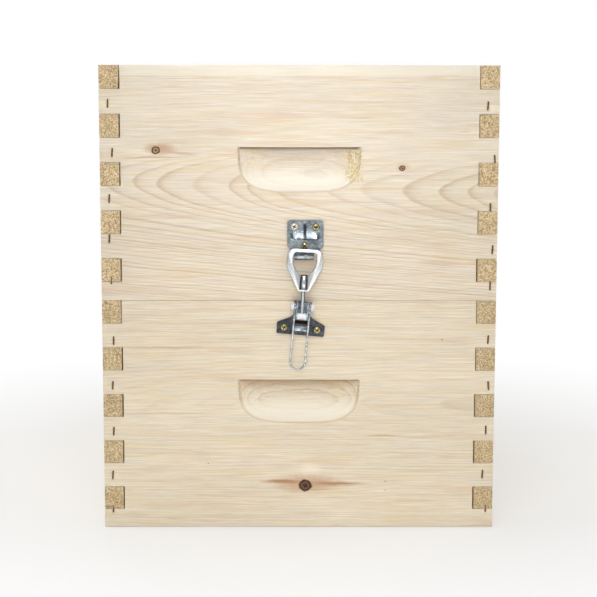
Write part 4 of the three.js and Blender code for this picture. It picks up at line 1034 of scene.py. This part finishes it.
def frame_parts(fused):
    """Wooden bars of one frame about x = 0, its bottom at z = 0."""
    hl = FR_LONG / 2
    inner = hl - EB_T - 0.3
    y = TB_LONG / 2
    prof = [(-y, LUG_LOW), (-inner, LUG_LOW), (-inner, TOP_LOW), (inner, TOP_LOW), (inner, LUG_LOW), (y, LUG_LOW), (y, FR_H), (-y, FR_H)]
    top_ = bar("top", prof, -TB_W / 2, TB_W / 2, "x")
    open_ = hl - EB_T
    g = box_obj("c", -SHEET_T / 2 - 0.3, SHEET_T / 2 + 0.3, -open_, open_, TOP_LOW - 1, TOP_LOW + 3)
    cut(top_, g)
    bevel(top_, 0.8, 2, 40)
    bb = bar("bottom", [(-hl, 0), (hl, 0), (hl, BB_H), (-hl, BB_H)], -BB_W / 2, BB_W / 2, "x")
    cut(bb, box_obj("c", -SHEET_T / 2 - 0.3, SHEET_T / 2 + 0.3, -open_, open_, BB_H - 3, BB_H + 1))
    bevel(bb, 0.7, 2, 40)
    ends = []
    n, w_ = EB_N / 2, EB_W / 2
    for sg in (-1, 1):
        outline = [(-n, 0), (n, 0), (n, SH_LOW), (w_, SH_LOW + 14), (w_, FR_H), (-w_, FR_H), (-w_, SH_LOW + 14), (-n, SH_LOW)]
        outline = rounded(outline, [1.2, 1.2, 8, 4, 1.2, 1.2, 4, 8], 4)
        y0 = sg * hl - (EB_T if sg > 0 else 0)
        e = bar("end", outline, y0, y0 + EB_T, "y")
        s_, f_ = TB_W / 2 + 0.3, BB_W / 2 + 0.3
        cut(e, box_obj("c", -s_, s_, y0 - 1, y0 + EB_T + 1, LUG_LOW - 0.3, FR_H + 5))
        cut(e, box_obj("c", -f_, f_, y0 - 1, y0 + EB_T + 1, -5, BB_H + 0.3))
        for z in (45, 92, 139, 186):
            cut(e, drum("c", 1.4, y0 - 2, y0 + EB_T + 2, 1, (0, 0, z), 14))
        bevel(e, 0.6, 2, 40)
        ends.append(e)
    return top_, bb, ends[0], ends[1]

def nails(name):
    """Nail heads of a frame: two in each lug, one through each side of the end bars."""
    objs = []
    prof = lambda: [(0, -7), (0.55, -7), (0.55, -0.15), (1.35, -0.12), (1.45, 0.0), (1.4, 0.12), (0.9, 0.2), (0, 0.22)]
    for sg in (-1, 1):
        for x in (-7.5, 7.5):
            objs.append(lathe("c", prof(), 14, 2, (x, sg * (FR_LONG / 2 - EB_T / 2), FR_H)))
        for x in (-5, 5):
            o = lathe("c", [(r, -h) for r, h in prof()], 14, 2, (x, sg * (FR_LONG / 2 - EB_T / 2), 0.0))
            objs.append(o)
    return joined(name, objs)

def comb_sheet(name, z0_, z1_, half):
    """Wax sheet between the bars, with a slightly waved surface."""
    ny, nz_ = 60, 12
    verts, faces = [], []
    t = SHEET_T / 2
    for side_ in (-1, 1):
        for j in range(nz_ + 1):
            for i in range(ny + 1):
                y, z = -half + 2 * half * i / ny, z0_ + (z1_ - z0_) * j / nz_
                edge = min(1.0, min(i, ny - i, j * 2, (nz_ - j) * 2) / 3)
                wv = 0.12 * math.sin(y * 0.021 + z * 0.013) * edge
                verts.append((side_ * (t - 0.15) + wv, y, z))
    k = (ny + 1) * (nz_ + 1)
    q = lambda i, j, s: s * k + j * (ny + 1) + i
    for j in range(nz_):
        for i in range(ny):
            faces += [[q(i, j, 0), q(i, j + 1, 0), q(i + 1, j + 1, 0), q(i + 1, j, 0)], [q(i, j, 1), q(i + 1, j, 1), q(i + 1, j + 1, 1), q(i, j + 1, 1)]]
    loop = [(i, 0) for i in range(ny)] + [(ny, j) for j in range(nz_)] + [(i, nz_) for i in range(ny, 0, -1)] + [(0, j) for j in range(nz_, 0, -1)]
    for a, b in zip(loop, loop[1:] + loop[:1]):
        faces.append([q(*a, 0), q(*b, 0), q(*b, 1), q(*a, 1)])
    return obj_from(name, verts, faces)

def wax_mat():
    n = NT("wax_foundation")
    P = n.pos()
    cell = 5.3
    # hexagon lattice: distance to the nearer of two offset grids' centres
    def dist(oy, oz):
        gy = n.sub(n.m("MODULO", n.add(P[1], 2000.0 * cell + oy), cell), cell / 2)
        gz = n.sub(n.m("MODULO", n.add(P[2], 1000.0 * cell * math.sqrt(3) + oz), cell * math.sqrt(3)), cell * math.sqrt(3) / 2)
        # hexagonal distance
        a = n.m("ABSOLUTE", gy)
        b = n.add(n.mul(n.m("ABSOLUTE", gy), 0.5), n.mul(n.m("ABSOLUTE", gz), math.sqrt(3) / 2))
        return n.m("MAXIMUM", a, b)
    d = n.m("MINIMUM", dist(0.0, 0.0), dist(cell / 2, cell * math.sqrt(3) / 2))
    wall = n.smooth(d, cell * 0.36, cell * 0.49)
    v = n.vec(P[0], n.mul(P[1], 0.02), n.mul(P[2], 0.02))
    big = n.noise(v, 1.0, 3.0, 0.6)
    c = n.mix(n.smooth(big, 0.3, 0.7), lin(232, 182, 84), lin(206, 148, 58))
    c = n.mix(n.mul(wall, 0.55), c, lin(246, 212, 128))
    fine = n.noise(n.vec(n.mul(P[0], 0.3), n.mul(P[1], 0.3), n.mul(P[2], 0.3)), 1.0, 3.0)
    c = n.scale_col(c, n.smooth(fine, 0.25, 0.75, 0.93, 1.05))
    n.put(n.bsdf.inputs["Base Color"], c)
    n.put(n.bsdf.inputs["Roughness"], n.smooth(fine, 0.3, 0.7, 0.38, 0.52))
    n.bump(wall, 0.0006, 0.8)
    return n.mat

def steel_mat(name):
    return metal(name, lin(150, 150, 150), lin(96, 94, 92), rough=(0.3, 0.45), scale=0.7)

# one set of unit meshes, copied with a shift for each frame
_top, _bot, _ef, _eb = frame_parts(False)
_nails = nails("n")
low_sheet, high_sheet = BB_H - 3 + 0.3, TOP_LOW + 3 - 0.3
_sheet = comb_sheet("s", low_sheet, high_sheet, FR_LONG / 2 - EB_T - 0.3)
for _o in (_top, _bot, _ef, _eb): smooth_by_angle(_o, 30)
m_nail = steel_mat("nail_steel")
m_wax = wax_mat()
m_fr = {}
for i in range(4):
    m_fr[i] = pine(f"frame_wood_{i}", 1, (2, 1), Z0["upper"] + H, w0=(-30.0, 20.0, 60.0, -90.0)[i], d0=44 + 9 * i, slope=0.03 - 0.018 * i, ring=2.4, seed=77 + 5.1 * i, contrast=1.15,
                   tint=((0.96, 0.885, 0.78), (0.99, 0.93, 0.84), (0.94, 0.86, 0.74), (0.98, 0.91, 0.80))[i])

# the end bars' fibres run upright
m_end = [pine(f"frame_end_wood_{i}", 2, (1, -1), YF, w0=(-60.0, 25.0)[i], d0=34 + 12 * i, slope=0.012, ring=2.3, seed=131 + 6.3 * i, contrast=1.1,
              tint=((0.97, 0.90, 0.80), (0.99, 0.93, 0.84))[i]) for i in (0, 1)]

def shifted(name, srcs, dx, dy, dz, mats):
    bm = bmesh.new()
    for k, s in enumerate(srcs):
        f0 = len(bm.faces)
        bm.from_mesh(s.data)
        bm.faces.ensure_lookup_table()
        for f in bm.faces[f0:]: f.material_index = mats[k]
    bmesh.ops.translate(bm, verts=bm.verts, vec=Vector((dx, dy, dz)) * MM)
    me = bpy.data.meshes.new(name)
    bm.to_mesh(me); bm.free()
    o = bpy.data.objects.new(name, me)
    COL.objects.link(o)
    return o

for lv in ("lower", "upper"):
    for i in range(10):
        x, z, k = (i - 4.5) * FRAME_PITCH, Z0[lv] + REST, f"{i + 1:02d}"
        body = f"{lv}_frame_{k}"
        mats = (m_fr[(i * 3 + (lv == "upper")) % 4], m_nail, m_end[(i + (lv == "upper")) % 2])
        nodes_ = [f"lower_frame_{k}"] if lv == "lower" else ([f"upper_frame_{k}_wood"] if i != 4 else [f"upper_frame_05_{q}" for q in ("top_bar", "front_end_bar", "back_end_bar", "bottom_bar")])
        if lv == "upper" and i == 4:
            for q, src in (("top_bar", [_top, _nails]), ("front_end_bar", [_ef]), ("back_end_bar", [_eb]), ("bottom_bar", [_bot])):
                o = shifted(f"upper_frame_05_{q}_planed", src, x, YC, z, (0, 1))
                set_mat(o, *((mats[2],) if "end" in q else mats[:2]))
                finish_piece(o, body, [f"upper_frame_05_{q}"])
        else:
            o = shifted(f"{lv}_frame_{k}_bars", [_top, _bot, _ef, _eb, _nails], x, YC, z, (0, 0, 2, 2, 1))
            set_mat(o, *mats)
            finish_piece(o, body, nodes_)
        s = shifted(f"{lv}_frame_{k}_comb", [_sheet], x, YC, z, (0,))
        finish_piece(s, body, [f"upper_frame_{k}_foundation"] if lv == "upper" else (), m_wax)
for _o in (_top, _bot, _ef, _eb, _nails, _sheet): bpy.data.objects.remove(_o)

# ------------------------------------------------------------------ staples
m_staple = metal("staple_steel", lin(150, 112, 68), lin(70, 46, 28), rough=(0.35, 0.6), scale=0.9, stain=lin(120, 70, 40), metallic=0.4)
def make_staples(level, which):
    z0 = Z0[level]
    pts = [p for p in front_staples if z0 <= p[1] < z0 + H]
    if which == "back": pts = [(-x, z) for x, z in pts]
    y, sgn = (YF, 1) if which == "front" else (YB, -1)
    verts, faces = [], []
    lr = random.Random(5)
    for (x, z) in pts:
        lean = math.radians(lr.uniform(-5, 5))
        b0 = len(verts)
        rings_ = 13
        half = 4.6
        for j in range(rings_):
            t = -1 + 2 * j / (rings_ - 1)
            sink = 0.35 + 1.1 * max(0.0, abs(t) - 0.80) / 0.2
            for i in range(8):
                a = 2 * math.pi * i / 8
                cx, cy = 0.80 * math.cos(a), 0.5 * math.sin(a)
                lz = t * half
                verts.append((x + cx * math.cos(lean) + lz * math.sin(lean), y + sgn * (sink + cy), z + lz * math.cos(lean)))
        for j in range(rings_ - 1):
            for i in range(8):
                a, b = b0 + j * 8 + i, b0 + j * 8 + (i + 1) % 8
                faces.append([a, b, b + 8, a + 8])
        faces.append([b0 + i for i in range(8)]); faces.append([b0 + (rings_ - 1) * 8 + i for i in range(8)])
    o = obj_from(f"{level}_{which}_staples", verts, faces, smooth=True)
    return finish_piece(o, level + "_box", (), m_staple)
for lv in ("lower", "upper"):
    for wh in ("front", "back"):
        make_staples(lv, wh)

# ------------------------------------------------------------------ stage, light, camera
def stage_mat():
    """Plain pale floor that fades into the white surroundings away from the object."""
    n = NT("floor_pale")
    P = n.pos()
    c = n.scale_col(n.vec(0.93, 0.93, 0.925), n.smooth(n.noise(n.vec(*P), 0.004, 2.0), 0.2, 0.8, 0.985, 1.0))
    n.put(n.bsdf.inputs["Base Color"], c)
    n.bsdf.inputs["Roughness"].default_value = 0.85
    r = n.hyp(P[0], P[1])
    lp_ = n.t.nodes.new("ShaderNodeLightPath")
    e = n.t.nodes.new("ShaderNodeEmission")
    e.inputs[0].default_value = (1, 1, 1, 1); e.inputs[1].default_value = 1.0
    mx_ = n.t.nodes.new("ShaderNodeMixShader")
    n.put(mx_.inputs[0], n.mul(n.smooth(r, 300.0, 900.0, 0.35, 1.0), lp_.outputs["Is Camera Ray"]))
    n.t.links.new(n.bsdf.outputs[0], mx_.inputs[1]); n.t.links.new(e.outputs[0], mx_.inputs[2])
    n.t.links.new(mx_.outputs[0], n.out.inputs[0])
    return n.mat

def floor():
    R, seg = 9000.0, 96
    verts = [(0, 0, 0)] + [(R * math.cos(2 * math.pi * i / seg), R * math.sin(2 * math.pi * i / seg), 0) for i in range(seg)]
    faces = [[0, 1 + i, 1 + (i + 1) % seg] for i in range(seg)]
    o = obj_from("floor", verts, faces)
    o.location.z = -0.0004
    set_mat(o, stage_mat())
floor()

w = bpy.data.worlds.new("studio")
sc.world = w
w.use_nodes = True
wn = w.node_tree
bg = wn.nodes["Background"]
bg.inputs[0].default_value = (1.0, 1.0, 1.0, 1)
# soft studio: brighter overhead than at the horizon
tcw = wn.nodes.new("ShaderNodeTexCoord")
sxw = wn.nodes.new("ShaderNodeSeparateXYZ")
mrw = wn.nodes.new("ShaderNodeMapRange")
mrw.interpolation_type = "SMOOTHSTEP"
mrw.inputs["From Min"].default_value, mrw.inputs["From Max"].default_value = -0.05, 0.45
mrw.inputs["To Min"].default_value, mrw.inputs["To Max"].default_value = 0.120, 0.37
wn.links.new(tcw.outputs["Generated"], sxw.inputs[0])
wn.links.new(sxw.outputs[2], mrw.inputs["Value"])
wn.links.new(mrw.outputs[0], bg.inputs[1])
# the camera sees the backdrop as plain white, while the light it gives stays soft
lp = wn.nodes.new("ShaderNodeLightPath")
bg2 = wn.nodes.new("ShaderNodeBackground")
bg2.inputs[0].default_value = (1, 1, 1, 1); bg2.inputs[1].default_value = 1.0
mx = wn.nodes.new("ShaderNodeMixShader")
wn.links.new(lp.outputs["Is Camera Ray"], mx.inputs[0])
wn.links.new(bg.outputs[0], mx.inputs[1]); wn.links.new(bg2.outputs[0], mx.inputs[2])
wn.links.new(mx.outputs[0], wn.nodes["World Output"].inputs[0])

def area(name, loc, target, size, power, col=(1, 1, 1), spread=180):
    l = bpy.data.lights.new(name, "AREA")
    l.shape = "RECTANGLE"; l.size, l.size_y = size
    l.energy = power; l.color = col; l.spread = math.radians(spread)
    o = bpy.data.objects.new(name, l)
    o.location = loc
    o.rotation_euler = (Vector(target) - Vector(loc)).to_track_quat("-Z", "Y").to_euler()
    o.visible_camera = False
    COL.objects.link(o)
    return o
area("key", (-0.12, -1.30, 1.60), (0, -0.2, 0.30), (0.8, 0.3), 6.1, (1.0, 0.99, 0.97))
area("front", (0.0, -1.85, 0.60), (0, -0.25, 0.36), (0.75, 0.60), 2.55)
area("glow", (0.0, -1.8, 0.95), (0.0, -0.25, 0.42), (0.25, 0.25), 0.06, spread=15)
area("low", (0.0, -0.75, 0.02), (0.0, -0.25, 0.03), (0.5, 0.04), 0.36)
area("glint", (0.0, -2.7, 1.45), (0, -0.25, 0.34), (1.4, 0.6), 4.9)
area("fill_right", (2.2, -1.6, 1.4), (0, 0, 0.25), (1.4, 1.4), 4)
area("top", (0.0, 0.1, 2.6), (0, 0, 0.3), (2.0, 2.0), 8.4)
area("back", (-0.6, 2.6, 1.6), (0, 0, 0.3), (1.6, 1.2), 16)
area("left_side", (-2.4, -0.6, 1.2), (0, 0, 0.25), (1.4, 1.4), 4)
# the sides get their own soft light from behind the front face's plane
area("side_right", (2.3, 0.15, 0.9), (0.2, 0, 0.25), (1.4, 1.2), 16)
area("side_left", (-2.3, 0.15, 0.9), (-0.2, 0, 0.25), (1.4, 1.2), 16)

cam = bpy.data.cameras.new("camera")
co = bpy.data.objects.new("camera", cam)
COL.objects.link(co)
CX, DIST, YAW, PITCHC, ROLL, FPX = -0.0094, 1.6910, 0.0052, 0.1416, 0.0017, 1631.5
fw = Vector((math.sin(YAW) * math.cos(PITCHC), math.cos(YAW) * math.cos(PITCHC), -math.sin(PITCHC)))
r_ = fw.cross(Vector((0, 0, 1))).normalized(); u_ = r_.cross(fw)
r2 = r_ * math.cos(ROLL) + u_ * math.sin(ROLL); u2 = -r_ * math.sin(ROLL) + u_ * math.cos(ROLL)
M = Matrix(((r2.x, u2.x, -fw.x, CX), (r2.y, u2.y, -fw.y, YF * MM - DIST), (r2.z, u2.z, -fw.z, 0.4874), (0, 0, 0, 1)))
co.matrix_world = M
cam.sensor_width = 36.0
cam.sensor_fit = "HORIZONTAL"
cam.lens = FPX / 597 * 36.0
cam.clip_start, cam.clip_end = 0.05, 60
sc.camera = co
sc.view_settings.view_transform = "Standard"
sc.view_settings.look = "None"
sc.view_settings.exposure = 0.0
sc.view_settings.gamma = 1.0
